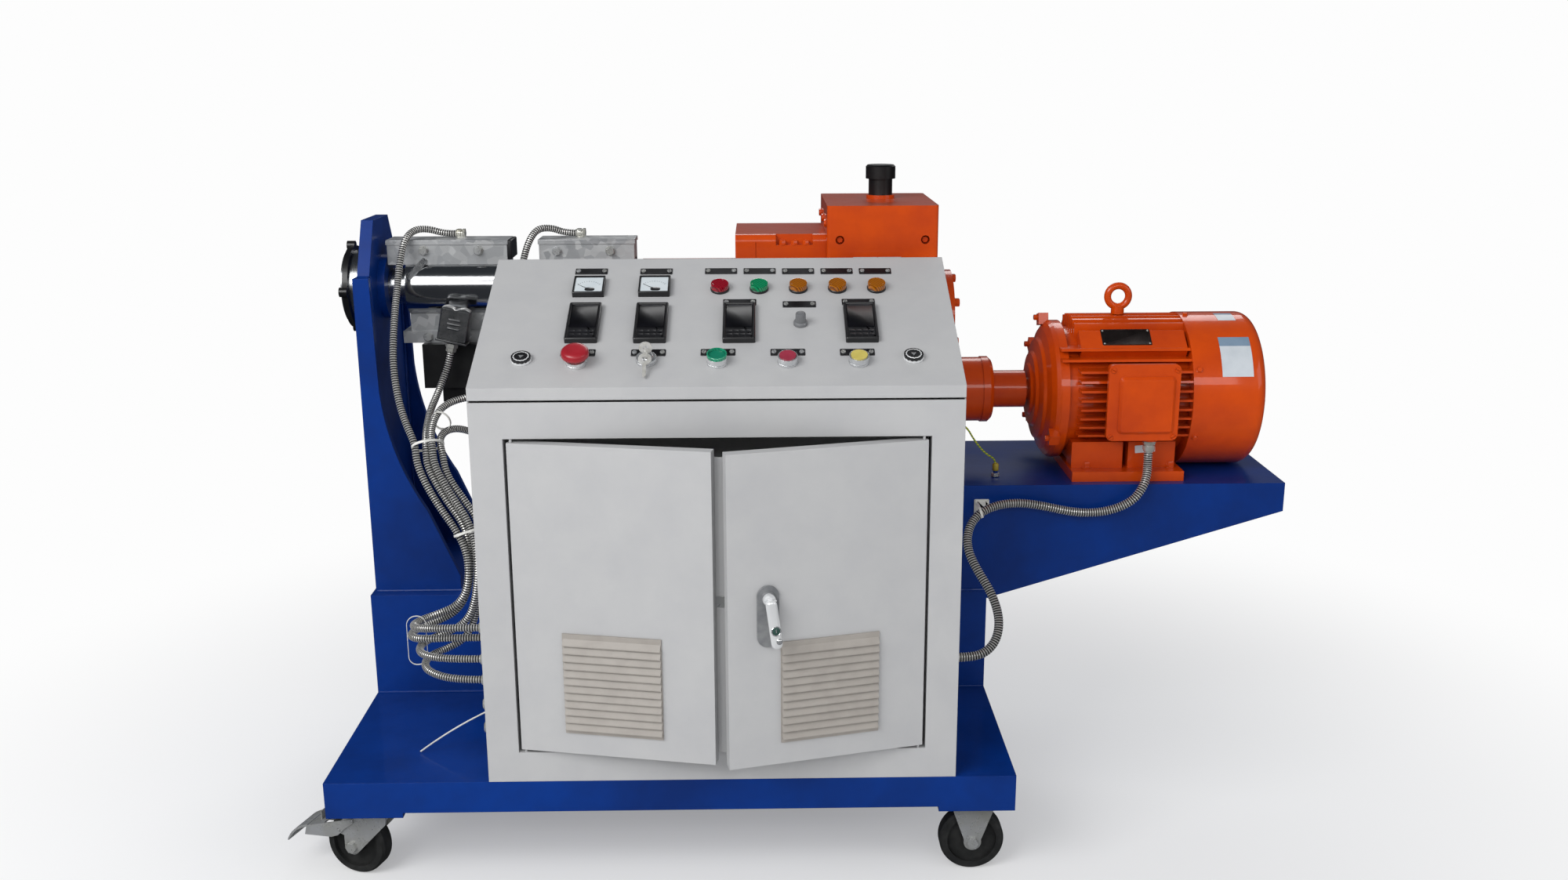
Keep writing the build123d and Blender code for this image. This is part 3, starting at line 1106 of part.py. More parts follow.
os.makedirs("parts", exist_ok=True)
boxes = [shape.bounding_box() for name, shape in nodes.items() if name not in CORDS]
ORIGIN_X = (min(box.min.X for box in boxes) + max(box.max.X for box in boxes)) / 2
ORIGIN_Y = (min(box.min.Y for box in boxes) + max(box.max.Y for box in boxes)) / 2
for name, shape in nodes.items():
    export_step(Pos(-ORIGIN_X, -ORIGIN_Y, 0) * shape, "parts/" + name + ".step")
print("origin", round(ORIGIN_X, 3), round(ORIGIN_Y, 3))
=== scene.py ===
import math

import bpy
import numpy as np
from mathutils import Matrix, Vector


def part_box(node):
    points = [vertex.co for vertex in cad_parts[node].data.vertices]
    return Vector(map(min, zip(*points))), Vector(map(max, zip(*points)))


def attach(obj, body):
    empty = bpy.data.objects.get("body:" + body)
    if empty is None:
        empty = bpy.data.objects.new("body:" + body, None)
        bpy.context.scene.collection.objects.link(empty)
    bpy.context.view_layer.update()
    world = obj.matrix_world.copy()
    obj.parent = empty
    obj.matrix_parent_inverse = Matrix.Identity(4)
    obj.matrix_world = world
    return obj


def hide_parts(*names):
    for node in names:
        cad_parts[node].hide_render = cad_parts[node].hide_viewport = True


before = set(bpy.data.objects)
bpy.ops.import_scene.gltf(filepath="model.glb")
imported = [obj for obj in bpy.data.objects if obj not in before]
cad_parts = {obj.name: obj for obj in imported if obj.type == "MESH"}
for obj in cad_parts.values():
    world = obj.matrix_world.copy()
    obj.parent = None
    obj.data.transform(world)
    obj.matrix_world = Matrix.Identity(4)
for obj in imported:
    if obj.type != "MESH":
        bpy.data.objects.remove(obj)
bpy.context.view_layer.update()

# The machine is drawn in the maker's frame, in millimetres: X = 0 is the middle of the control cabinet,
# Y = 0 its front face and Z = 0 the floor. The deck's left edge is at X = -598 and its front edge at Y = 0,
# so the deck's CAD box gives the shift to the row frame.
DECK_LEFT = -598.0
deck_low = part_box("deck")[0]
SHIFT = np.array([deck_low[0] * 1000 - DECK_LEFT, deck_low[1] * 1000, 0.0])


def metres(points):
    """Maker's millimetres to the row frame's metres: the shift is added and the sum divided by 1000."""
    return (np.asarray(points, float) + SHIFT) / 1000


# The camera stands in front of the console, a little right of its middle, and looks down at the machine.
# Its place, turn and focal length are solved from the corners of the cabinet and the deck.
CAMERA_AT = (58.9, -1978.4, 1214.5)
CAMERA_PITCH = math.radians(14.43)
CAMERA_YAW = math.radians(1.00)
CAMERA_ROLL = math.radians(-0.20)
FOCAL_PIXELS = 1845.6
PHOTO_WIDTH = 2000
SENSOR = 36.0

look = np.array([math.sin(CAMERA_YAW) * math.cos(CAMERA_PITCH),
                 math.cos(CAMERA_YAW) * math.cos(CAMERA_PITCH), -math.sin(CAMERA_PITCH)])
level = np.array([math.cos(CAMERA_YAW), -math.sin(CAMERA_YAW), 0.0])
over = np.cross(level, look)
right = level * math.cos(CAMERA_ROLL) + over * math.sin(CAMERA_ROLL)
upward = -level * math.sin(CAMERA_ROLL) + over * math.cos(CAMERA_ROLL)
lens = bpy.data.cameras.new("camera")
lens.sensor_width = SENSOR
lens.lens = FOCAL_PIXELS * SENSOR / PHOTO_WIDTH
lens.clip_end = 100
camera = bpy.data.objects.new("camera", lens)
stand = np.eye(4)
stand[:3, 0] = right
stand[:3, 1] = upward
stand[:3, 2] = -look
stand[:3, 3] = metres(CAMERA_AT)
camera.matrix_world = stand.T.tolist()
bpy.context.scene.collection.objects.link(camera)
bpy.context.scene.camera = camera


def linear(code):
    """sRGB hex code to a linear colour: each channel goes through the sRGB curve."""
    value = np.array([int(code[i:i + 2], 16) for i in (1, 3, 5)]) / 255
    value = np.where(value <= 0.04045, value / 12.92, ((value + 0.055) / 1.055) ** 2.4)
    return (*value, 1.0)


def add(tree, kind, inputs=None, **settings):
    """Add a node with its settings; an input that is a socket is linked, any other is its value."""
    node = tree.nodes.new(kind)
    for key, value in settings.items():
        setattr(node, key, value)
    for key, value in (inputs or {}).items():
        if isinstance(value, bpy.types.NodeSocket):
            tree.links.new(value, node.inputs[key])
        else:
            node.inputs[key].default_value = value
    return node


# A studio: a white board floor fades into a white backdrop. A key box stands on the left, a long window
# behind the camera draws highlights along jackets and motor, and a fill and a back light lift the rest.
# Shiny parts see a darker floor and room than matt ones do, as if black cloth hung where they mirror it.
FLOOR = "#f4f4f4"
FLOOR_SHINE = "#34363a"
ROOM = "#a9abae"
ROOM_SHINE = "#34373b"
BACKGROUND = "#fdfdfd"
FADE_FROM = 0.75
FADE_TO = 1.9
FADE_NEAR = 0.3
FLOOR_HALF = 40.0


def finish(name, shader_inputs):
    """A material with a Principled shader that has the given inputs."""
    material = bpy.data.materials.new(name)
    material.use_nodes = True
    tree = material.node_tree
    shader = tree.nodes["Principled BSDF"]
    for key, value in shader_inputs.items():
        shader.inputs[key].default_value = value
    return material, tree, shader


def feed(tree, shader, sources):
    """Link each source socket to the shader's input of that name."""
    for key, source in sources.items():
        tree.links.new(source, shader.inputs[key])


floor_mesh = bpy.data.meshes.new("floor")
floor_mesh.from_pydata([(-FLOOR_HALF, -FLOOR_HALF, 0), (FLOOR_HALF, -FLOOR_HALF, 0),
                        (FLOOR_HALF, FLOOR_HALF, 0), (-FLOOR_HALF, FLOOR_HALF, 0)], [], [(0, 1, 2, 3)])
floor = bpy.data.objects.new("floor", floor_mesh)
bpy.context.scene.collection.objects.link(floor)
board, board_tree, board_shader = finish("painted_board", {"Base Color": linear(FLOOR), "Roughness": 0.9,
                                                          "Specular IOR Level": 0.0})
board_path = add(board_tree, "ShaderNodeLightPath")
board_place = add(board_tree, "ShaderNodeTexCoord").outputs["Object"]
board_far = add(board_tree, "ShaderNodeVectorMath", {0: board_place}, operation="LENGTH")
board_fade = add(board_tree, "ShaderNodeMapRange",
                 {"Value": board_far.outputs["Value"], "From Min": FADE_FROM, "From Max": FADE_TO,
                  "To Min": FADE_NEAR}, interpolation_type="SMOOTHSTEP")
board_seen = add(board_tree, "ShaderNodeMath", {0: board_fade.outputs["Result"],
                                                1: board_path.outputs["Is Camera Ray"]}, operation="MULTIPLY")
board_glow = add(board_tree, "ShaderNodeEmission", {"Color": linear(BACKGROUND)})
board_cloth = add(board_tree, "ShaderNodeEmission", {"Color": linear(FLOOR_SHINE)})
board_lit = add(board_tree, "ShaderNodeMixShader", {0: board_seen.outputs[0], 1: board_shader.outputs[0],
                                                    2: board_glow.outputs[0]})
board_mix = add(board_tree, "ShaderNodeMixShader", {0: board_path.outputs["Is Glossy Ray"],
                                                    1: board_lit.outputs[0], 2: board_cloth.outputs[0]})
board_tree.links.new(board_mix.outputs[0], board_tree.nodes["Material Output"].inputs["Surface"])
floor_mesh.materials.append(board)

world = bpy.data.worlds.new("room")
world.use_nodes = True
bpy.context.scene.world = world
room = world.node_tree
room_path = add(room, "ShaderNodeLightPath")
room_light = add(room, "ShaderNodeBackground", {"Color": linear(ROOM), "Strength": 1.0})
room_shine = add(room, "ShaderNodeBackground", {"Color": linear(ROOM_SHINE), "Strength": 1.0})
room_seen = add(room, "ShaderNodeBackground", {"Color": linear(BACKGROUND), "Strength": 1.0})
room_matt = add(room, "ShaderNodeMixShader", {0: room_path.outputs["Is Glossy Ray"],
                                              1: room_light.outputs[0], 2: room_shine.outputs[0]})
room_mix = add(room, "ShaderNodeMixShader", {0: room_path.outputs["Is Camera Ray"],
                                             1: room_matt.outputs[0], 2: room_seen.outputs[0]})
room.links.new(room_mix.outputs[0], room.nodes["World Output"].inputs[0])

# name, place, aim, width, height in metres, and power in watts
LAMPS = [("key", (-2.3, -2.6, 2.9), (0.0, 0.0, 0.5), 2.4, 1.8, 94),
         ("window", (0.0, -3.2, 2.0), (0.0, 0.2, 0.8), 3.8, 0.7, 27),
         ("fill", (3.0, -1.8, 1.9), (0.2, 0.0, 0.6), 2.0, 1.6, 14),
         ("back", (0.6, 3.0, 2.8), (0.0, 0.2, 0.7), 2.6, 1.2, 30)]
for name, place, aim, width, height, power in LAMPS:
    light = bpy.data.lights.new(name, "AREA")
    light.shape = "RECTANGLE"
    light.size = width
    light.size_y = height
    light.energy = power
    lamp = bpy.data.objects.new(name, light)
    away = np.array(place) - np.array(aim)
    away = away / np.linalg.norm(away)
    side = np.cross([0, 0, 1], away)
    side = side / np.linalg.norm(side)
    pose = np.eye(4)
    pose[:3, 0] = side
    pose[:3, 1] = np.cross(away, side)
    pose[:3, 2] = away
    pose[:3, 3] = place
    lamp.matrix_world = pose.T.tolist()
    bpy.context.scene.collection.objects.link(lamp)
bpy.context.scene.view_settings.view_transform = "Standard"


# The trolley is welded from sheet and plate and brushed with a thick gloss enamel, so it has soft edges,
# faint brush and roller marks, and a little dust where hands and feet don't rub it off. Fillet welds run
# along the joints, under the paint.
BLUE = "#003384"
BLUE_DEEP = "#00286c"
ROLLER_GRAIN = 2.5
DUST_PATCH = 160.0
SHARP_ANGLE = math.radians(38)
# start, end and size of each weld in millimetres
WELDS = [((-596, 328, 180.5), (440, 328, 180.5), 3.0), ((-448, 350, 356.5), (-592, 350, 356.5), 2.6),
         ((-573, 380, 372), (-573, 380, 886), 2.4), ((-573, 574, 372), (-573, 574, 886), 2.4),
         ((112, 328, 356.5), (438, 328, 356.5), 2.6)]


def wear(material, *nodes):
    """Give CAD nodes a material in each of their material slots."""
    for node in nodes:
        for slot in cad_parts[node].material_slots:
            slot.material = material


def joined(shapes):
    """One (points, faces) shape of several: each one's faces count on from the points before it."""
    points = []
    faces = []
    start = 0
    for shape_points, shape_faces in shapes:
        points.append(np.asarray(shape_points, float).reshape(-1, 3))
        faces.extend([tuple(start + i for i in face) for face in shape_faces])
        start += len(points[-1])
    return np.concatenate(points), faces


def show(name, shapes, material, body):
    """Join shapes drawn in millimetres into one mesh piece that rides on a body."""
    points, faces = joined(shapes)
    mesh = bpy.data.meshes.new(name)
    mesh.from_pydata(metres(points).tolist(), [], faces)
    mesh.shade_smooth()
    mesh.set_sharp_from_angle(angle=SHARP_ANGLE)
    mesh.materials.append(material)
    piece = bpy.data.objects.new(name, mesh)
    bpy.context.scene.collection.objects.link(piece)
    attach(piece, body)
    return piece


def enamel(name, colour, deep, roughness, grain, lumps, coat, patch_size):
    """Paint: a clear coat over a colour that varies a little in patches, with a fine lumpy surface."""
    material, tree, shader = finish(name, {"Roughness": roughness, "IOR": 1.5, "Specular IOR Level": 0.22,
                                           "Coat Weight": coat, "Coat Roughness": 0.04})
    place = add(tree, "ShaderNodeTexCoord").outputs["Object"]
    patch = add(tree, "ShaderNodeTexNoise", {"Vector": place, "Scale": 1000 / patch_size, "Detail": 4.0,
                                             "Roughness": 0.6})
    tone = add(tree, "ShaderNodeMapRange", {"Value": patch.outputs["Fac"], "From Min": 0.35, "From Max": 0.7})
    mix = add(tree, "ShaderNodeMix", {"Factor": tone.outputs["Result"], "A": linear(colour),
                                      "B": linear(deep)}, data_type="RGBA")
    skin = add(tree, "ShaderNodeTexNoise", {"Vector": place, "Scale": 1000 / grain, "Detail": 2.0})
    edge = add(tree, "ShaderNodeBevel", {"Radius": 0.0012}, samples=4)
    bump = add(tree, "ShaderNodeBump", {"Height": skin.outputs["Fac"], "Distance": 0.0004, "Strength": lumps,
                                        "Normal": edge.outputs["Normal"]})
    rough = add(tree, "ShaderNodeMapRange", {"Value": patch.outputs["Fac"], "From Min": 0.3, "From Max": 0.75,
                                             "To Min": roughness, "To Max": roughness + 0.12})
    feed(tree, shader, {"Base Color": mix.outputs["Result"], "Normal": bump.outputs["Normal"],
                        "Roughness": rough.outputs["Result"]})
    return material


def tube_along(path, radius, sides):
    """Tube on a path: ring i is a circle in the plane across the path at point i, turned as little as
    possible from ring i - 1; radius may be one number or one for each point."""
    path = np.asarray(path, float)
    run = np.gradient(path, axis=0)
    run = run / np.linalg.norm(run, axis=1)[:, None]
    normal = np.zeros_like(path)
    start = np.cross(run[0], [0, 0, 1]) if abs(run[0][2]) < 0.9 else np.cross(run[0], [1, 0, 0])
    normal[0] = start / np.linalg.norm(start)
    for i in range(1, len(path)):
        step = normal[i - 1] - run[i] * np.dot(normal[i - 1], run[i])
        normal[i] = step / np.linalg.norm(step)
    other = np.cross(run, normal)
    angle = np.arange(sides) * 2 * math.pi / sides
    radius = np.broadcast_to(np.asarray(radius, float), (len(path),))
    circle = normal[:, None] * np.cos(angle)[None, :, None] + other[:, None] * np.sin(angle)[None, :, None]
    points = (path[:, None] + circle * radius[:, None, None]).reshape(-1, 3)
    first = np.arange(sides)
    nxt = np.roll(first, -1)
    low = (np.arange(len(path) - 1) * sides)[:, None]
    faces = np.stack([first + low, nxt + low, nxt + low + sides, first + low + sides], 2)
    faces = faces.reshape(-1, 4).tolist()
    faces.append(list(reversed(first.tolist())))
    faces.append((first + (len(path) - 1) * sides).tolist())
    return points, faces


def weld_run(start, end, size, seed):
    """Fillet weld: a round bead from start to end whose radius ripples with the welder's short strokes."""
    count = max(8, int(np.linalg.norm(np.subtract(end, start)) / 4))
    share = np.linspace(0, 1, count)[:, None]
    path = np.asarray(start, float) * (1 - share) + np.asarray(end, float) * share
    ripple = 1 + 0.09 * np.sin(np.arange(count) * 1.9 + seed) + 0.05 * np.sin(np.arange(count) * 0.37 + seed)
    return tube_along(path, size * ripple, 8)


blue_enamel = enamel("blue_enamel", BLUE, BLUE_DEEP, 0.3, ROLLER_GRAIN, 0.12, 0.18, DUST_PATCH)
wear(blue_enamel, "deck", "pedestal", "motor_shelf", "barrel_bracket")
show("welds", [weld_run(*weld, seed) for seed, weld in enumerate(WELDS)], blue_enamel, "machine")


# The casters are pressed from steel strip and bright zinc plated, with a faint straw tint, and run on
# moulded black rubber tyres. Four hexagon bolts hold each top plate to its pad on the deck.
ZINC = "#b4b6b8"
ZINC_STRAW = "#a8a8a2"
RUBBER = "#1b1c1c"
RUBBER_WORN = "#2e2e2d"
PLATE_BOLT = (36.0, 30.0)
PLATE_UNDER = 118.0
CASTER_AT = {"front_left": (-540, 55), "rear_left": (-540, 571), "front_right": (384, 55),
             "rear_right": (384, 571)}


def plated(name, colour, tint, roughness, patch_size, stretch, bump_size, bump_depth, bare=1.0):
    """Bare or plated metal: the colour drifts to its tint in patches, and a stretched noise gives the
    direction it was drawn, brushed or turned in. A skin of oxide or lacquer makes it less than all bare."""
    material, tree, shader = finish(name, {"Metallic": bare})
    place = add(tree, "ShaderNodeTexCoord").outputs["Object"]
    patch = add(tree, "ShaderNodeTexNoise", {"Vector": place, "Scale": 1000 / patch_size, "Detail": 3.0})
    tone = add(tree, "ShaderNodeMapRange", {"Value": patch.outputs["Fac"], "From Min": 0.35, "From Max": 0.7})
    mix = add(tree, "ShaderNodeMix", {"Factor": tone.outputs["Result"], "A": linear(colour),
                                      "B": linear(tint)}, data_type="RGBA")
    lay = add(tree, "ShaderNodeMapping", {"Vector": place, "Scale": stretch})
    lines = add(tree, "ShaderNodeTexNoise", {"Vector": lay.outputs["Vector"], "Scale": 1000 / bump_size,
                                             "Detail": 2.0})
    rough = add(tree, "ShaderNodeMapRange", {"Value": lines.outputs["Fac"], "From Min": 0.3, "From Max": 0.7,
                                             "To Min": roughness * 0.8, "To Max": roughness * 1.25})
    edge = add(tree, "ShaderNodeBevel", {"Radius": 0.0006}, samples=4)
    bump = add(tree, "ShaderNodeBump", {"Height": lines.outputs["Fac"], "Distance": bump_depth / 1000,
                                        "Strength": 0.5, "Normal": edge.outputs["Normal"]})
    feed(tree, shader, {"Base Color": mix.outputs["Result"], "Normal": bump.outputs["Normal"],
                        "Roughness": rough.outputs["Result"]})
    return material


def moulded(name, colour, faded, roughness, grain, depth, coat):
    """Moulded plastic or rubber: an even colour that fades in patches, over the fine grain of its mould."""
    material, tree, shader = finish(name, {"Roughness": roughness, "IOR": 1.5, "Coat Weight": coat,
                                           "Coat Roughness": 0.05})
    place = add(tree, "ShaderNodeTexCoord").outputs["Object"]
    patch = add(tree, "ShaderNodeTexNoise", {"Vector": place, "Scale": 45.0, "Detail": 4.0})
    tone = add(tree, "ShaderNodeMapRange", {"Value": patch.outputs["Fac"], "From Min": 0.4, "From Max": 0.75})
    mix = add(tree, "ShaderNodeMix", {"Factor": tone.outputs["Result"], "A": linear(colour),
                                      "B": linear(faded)}, data_type="RGBA")
    skin = add(tree, "ShaderNodeTexNoise", {"Vector": place, "Scale": 1000 / grain, "Detail": 1.0})
    bump = add(tree, "ShaderNodeBump", {"Height": skin.outputs["Fac"], "Distance": depth / 1000,
                                        "Strength": 0.4})
    feed(tree, shader, {"Base Color": mix.outputs["Result"], "Normal": bump.outputs["Normal"]})
    return material


def ring_outline(radius, count, turn=0.0):
    """Points of a regular outline: radius times (cos, sin) of equal steps from the turn."""
    step = turn + np.arange(count) * 2 * math.pi / count
    return radius * np.stack([np.cos(step), np.sin(step)], 1)


def loft(outline, rings, closed=False):
    """Solid of one outline: ring i moves it inwards by its inset along the outline's normals and sets it at
    its height. Quads join the rings; the ends are capped, or joined to each other if the ring is closed."""
    before = outline - np.roll(outline, 1, axis=0)
    after = np.roll(outline, -1, axis=0) - outline
    tangent = (before / np.linalg.norm(before, axis=1)[:, None]
               + after / np.linalg.norm(after, axis=1)[:, None])
    tangent = tangent / np.linalg.norm(tangent, axis=1)[:, None]
    inward = np.stack([-tangent[:, 1], tangent[:, 0]], 1)
    rings = np.asarray(rings, float)
    flat = outline[None] + inward[None] * rings[:, 0, None, None]
    height = np.broadcast_to(rings[:, 1, None, None], (*flat.shape[:2], 1))
    points = np.concatenate([flat, height], 2).reshape(-1, 3)
    count = len(outline)
    first = np.arange(count)
    nxt = np.roll(first, -1)
    low = (np.arange(len(rings) if closed else len(rings) - 1) * count)[:, None]
    high = (low + count) % (len(rings) * count)
    faces = np.stack([first + low, nxt + low, nxt + high, first + high], 2).reshape(-1, 4).tolist()
    if not closed:
        faces.append(list(reversed(first.tolist())))
        faces.append((first + (len(rings) - 1) * count).tolist())
    return points, faces


def put(shape, origin, x_axis=(1, 0, 0), z_axis=(0, 0, 1)):
    """Carry a shape drawn about the origin to a place: x_axis and z_axis say where its X and Z point."""
    points, faces = shape
    out = np.asarray(z_axis, float)
    out = out / np.linalg.norm(out)
    along = np.asarray(x_axis, float)
    along = along - out * np.dot(along, out)
    along = along / np.linalg.norm(along)
    turned = np.stack([along, np.cross(out, along), out], 0)
    return np.asarray(points) @ turned + np.asarray(origin, float), faces


def bolt(across, height):
    """Hexagon bolt head, its corners chamfered by the top ring, on a round washer."""
    low = across * 0.1
    washer = loft(ring_outline(across * 0.68, 20), [(0, 0), (0, across * 0.08), (0.3, low)])
    head = loft(ring_outline(across / math.sqrt(3), 6),
                [(0, low), (0, low + height * 0.85), (across * 0.07, low + height)])
    return joined([washer, head])


zinc = plated("bright_zinc_plate", ZINC, ZINC_STRAW, 0.3, 40.0, (1, 1, 1), 9.0, 0.01, 0.5)
rubber = moulded("caster_rubber", RUBBER, RUBBER_WORN, 0.62, 1.5, 0.05, 0.0)
wear(zinc, "caster_plates", "brake_pedal", *["caster_fork_" + name for name in CASTER_AT])
wear(rubber, *["caster_wheel_" + name for name in CASTER_AT])
plate_bolts = [put(bolt(9.0, 3.6), (x + sx * PLATE_BOLT[0], y + sy * PLATE_BOLT[1], PLATE_UNDER),
                   (1, 0, 0), (0, 0, -1))
               for x, y in CASTER_AT.values() for sx in (-1, 1) for sy in (-1, 1)]
show("caster_bolts", plate_bolts, zinc, "machine")


# The control cabinet is folded from 2 mm sheet and powder coated light grey, with a fine orange-peel skin
# and a few grey hand marks. The doors are pans of the same sheet on pins. A rebate strip is spot welded
# behind the left door's free edge and carries a zinc striker.
POWDER = "#b6b6b6"
POWDER_SHADE = "#b1b1b2"
POWDER_GRAIN = 1.2
HAND_MARK = 70.0
PIN_X = 292.5
PIN_Y = 3.5
LEFT_AJAR = 11.3
RIGHT_AJAR = 14.7
STRIP_LOW = 245.0
STRIP_HIGH = 692.0
STRIP_REACH = 11.0
STRIP_HIDDEN = 14.0
STRIP_Y = 18.6
STRIKER_AT = (4.8, 17.4, 479)


def slab_outline(width, height, corner, steps=4):
    """Rectangle with round corners: a quarter circle about each corner's centre, one after the other."""
    arc = np.linspace(0, math.pi / 2, steps + 1)
    turn = arc[None, :] + np.arange(4)[:, None] * math.pi / 2
    centre = np.array([[1, 1], [-1, 1], [-1, -1], [1, -1]]) * [width / 2 - corner, height / 2 - corner]
    points = centre[:, None, :] + corner * np.stack([np.cos(turn), np.sin(turn)], 2)
    return points.reshape(-1, 2)


def facing(shape, origin, x_axis=(1, 0, 0)):
    """Set a shape on a face that looks forwards: its X along x_axis and its Z to the front."""
    return put(shape, origin, x_axis, (0, -1, 0))


def turn_about(shape, axis, degrees, centre):
    """Turn a shape about an axis through a centre: an arm r from the centre becomes
    r cos(a) + (axis x r) sin(a) + axis (axis . r) (1 - cos(a))."""
    points, faces = shape
    axis = np.asarray(axis, float)
    angle = math.radians(degrees)
    arm = np.asarray(points) - centre
    turned = (arm * math.cos(angle) + np.cross(axis, arm) * math.sin(angle)
              + axis * (arm @ axis)[:, None] * (1 - math.cos(angle)))
    return turned + centre, faces


def on_door(side, shape):
    """Turn a shape drawn on a closed door (side -1 left, 1 right) to where that door stands ajar."""
    angle = -LEFT_AJAR if side < 0 else RIGHT_AJAR
    return turn_about(shape, (0, 0, 1), angle, np.array([side * PIN_X, PIN_Y, 0.0]))


powder = enamel("grey_powder_coat", POWDER, POWDER_SHADE, 0.42, POWDER_GRAIN, 0.12, 0.12, HAND_MARK)
wear(powder, "cabinet_front", "cabinet_sides", "cabinet_back", "console_lid", "door_left", "door_right")
strip = loft(slab_outline(STRIP_REACH + STRIP_HIDDEN, STRIP_HIGH - STRIP_LOW, 1.0, 2), [(0, 0), (0, 1.2)])
strip = facing(strip, ((STRIP_REACH - STRIP_HIDDEN) / 2, STRIP_Y, (STRIP_LOW + STRIP_HIGH) / 2))
show("door_rebate_strip", [on_door(-1, strip)], powder, "door_left")
striker = facing(loft(slab_outline(11.5, 17.0, 0.8, 2), [(0, 0), (0, 0.4), (0.2, 0.6)]), STRIKER_AT)
show("door_striker", [on_door(-1, striker)], zinc, "door_left")


# Vents of warm grey moulded plastic are clipped into each door. Their slats slope out and down, and fine
# dust dulls them in patches.
VENT_PLASTIC = "#a09a93"
VENT_DUST = "#98928b"
vent_plastic = moulded("vent_plastic", VENT_PLASTIC, VENT_DUST, 0.5, 0.9, 0.02, 0.0)
wear(vent_plastic, "vent_left", "vent_right")


# The swing handle is a zinc die casting: a satin grey dish screwed to the right door, and a lever in pearl
# chrome with its lock barrel near the end.
SATIN = "#a3a4a5"
SATIN_SHADE = "#85878a"
CHROME = "#e8e9ea"
CHROME_SHADE = "#d4d6d8"
HANDLE_X = 59.5
SPINDLE_FACE = -7.8
SPINDLE_UP = 491.5
LEVER_PIN_Y = -18.8
LEVER_FRONT = -25.8
LEVER_BACK = -15.8
LEVER_LONG = 71.0
LEVER_ABOVE = 3.0
LEVER_LIFT = 8.0
LEVER_TURN = 6.0
LOCK_DOWN = 41.0
LEVER_LOCK = np.array([HANDLE_X, LEVER_FRONT, SPINDLE_UP - LOCK_DOWN])
LEVER_ROUND = [(1.2, 0), (0, 1.2), (0, 6.4), (0.8, 8.2), (2.4, 9.4), (4.4, 9.9), (6.6, 10.0)]
LOCK_RING = [(0, 0), (0, 0.8), (0.8, 1.4), (1.5, 0.9), (1.5, 0)]


def on_lever(shape):
    """Turn a shape drawn on the hanging lever of the closed door to the lever's lifted, swung place."""
    shape = turn_about(shape, (1, 0, 0), -LEVER_LIFT, np.array([HANDLE_X, LEVER_PIN_Y, SPINDLE_UP]))
    shape = turn_about(shape, (0, 1, 0), -LEVER_TURN, np.array([HANDLE_X, SPINDLE_FACE, SPINDLE_UP]))
    return on_door(1, shape)


satin = plated("satin_die_casting", SATIN, SATIN_SHADE, 0.38, 18.0, (1, 1, 1), 1.5, 0.01, 0.4)
chrome = plated("bright_chrome", CHROME, CHROME_SHADE, 0.12, 60.0, (1, 1, 1), 20.0, 0.01, 0.75)
pearl_chrome = plated("pearl_chrome", "#f0f1f1", "#e8e9ea", 0.2, 40.0, (1, 1, 1), 30.0, 0.0, 0.35)
black_plastic = moulded("black_moulded_plastic", "#151517", "#1f1f22", 0.34, 0.8, 0.015, 0.1)
wear(satin, "handle_dish")
wear(pearl_chrome, "handle_spindle")
lever_bar = facing(loft(slab_outline(15.6, LEVER_LONG, 7.4, 7), LEVER_ROUND),
                   (HANDLE_X, LEVER_BACK, SPINDLE_UP + LEVER_ABOVE - LEVER_LONG / 2))
lever_piece = show("handle_lever_bar", [on_lever(lever_bar)], pearl_chrome, "handle_lever")
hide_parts("handle_lever")
lock_green = moulded("lock_barrel_green", "#33514a", "#2a443e", 0.35, 0.8, 0.01, 0.2)
# name, shape, offset from the lock's centre, material and slot
LEVER_PARTS = [
    ("handle_lock_ring", loft(ring_outline(7.2, 32), LOCK_RING, True), (0, 0, 0), chrome, "chrome"),
    ("handle_lock_face", loft(ring_outline(5.7, 28), [(0, 0), (0, 0.5), (0.4, 0.7)]), (0, 0, 0), lock_green,
     "black_plastic"),
    ("handle_key_slot", loft(slab_outline(1.2, 5.0, 0.5, 2), [(0, 0), (0, 0.35)]), (0, -0.6, 0), chrome,
     "chrome"),
    ("handle_lock_flap", loft(ring_outline(4.4, 24), [(0, 0), (0, 1.2), (1.2, 2.4), (3.0, 2.8)]),
     (2.5, 0, -15.5), chrome, "chrome")]
for name, shape, offset, material, slot in LEVER_PARTS:
    show(name, [on_lever(facing(shape, LEVER_LOCK + np.array(offset)))], material, "handle_lever")


# Engraving plates of black plastic lie above the instruments, left bare, each held by two zinc round-head
# screws with a slot.
FRONT_TOP = 783.0
SLOPE = math.atan2(140.0, 310.0)
LABEL_SIZE = (50.0, 16.0)
LABEL_AT = [(-200.5, 302.5), (-99.5, 301.5), (1, 301.5), (61, 301), (121, 300), (181, 299.5), (241, 299),
            (30.5, 213), (210, 212), (120.5, 206.5), (-201.5, 83.5), (-100.2, 82.5), (0, 82.5),
            (100.7, 81.5), (201, 80.5)]
LABEL_THICK = 1.2
LABEL_SCREW_R = 3.6
LABEL_SCREW_OUT = 20.0
SLOT_ANGLE = 0.12


def on_panel(at, shape, lift=0.0):
    """Lay a shape on the sloping lid, with its X to the right, its Y up the slope and its Z outwards."""
    right_of, up = at
    origin = (right_of, up * math.cos(SLOPE) - lift * math.sin(SLOPE),
              FRONT_TOP + up * math.sin(SLOPE) + lift * math.cos(SLOPE))
    return put(shape, origin, (1, 0, 0), (0, -math.sin(SLOPE), math.cos(SLOPE)))


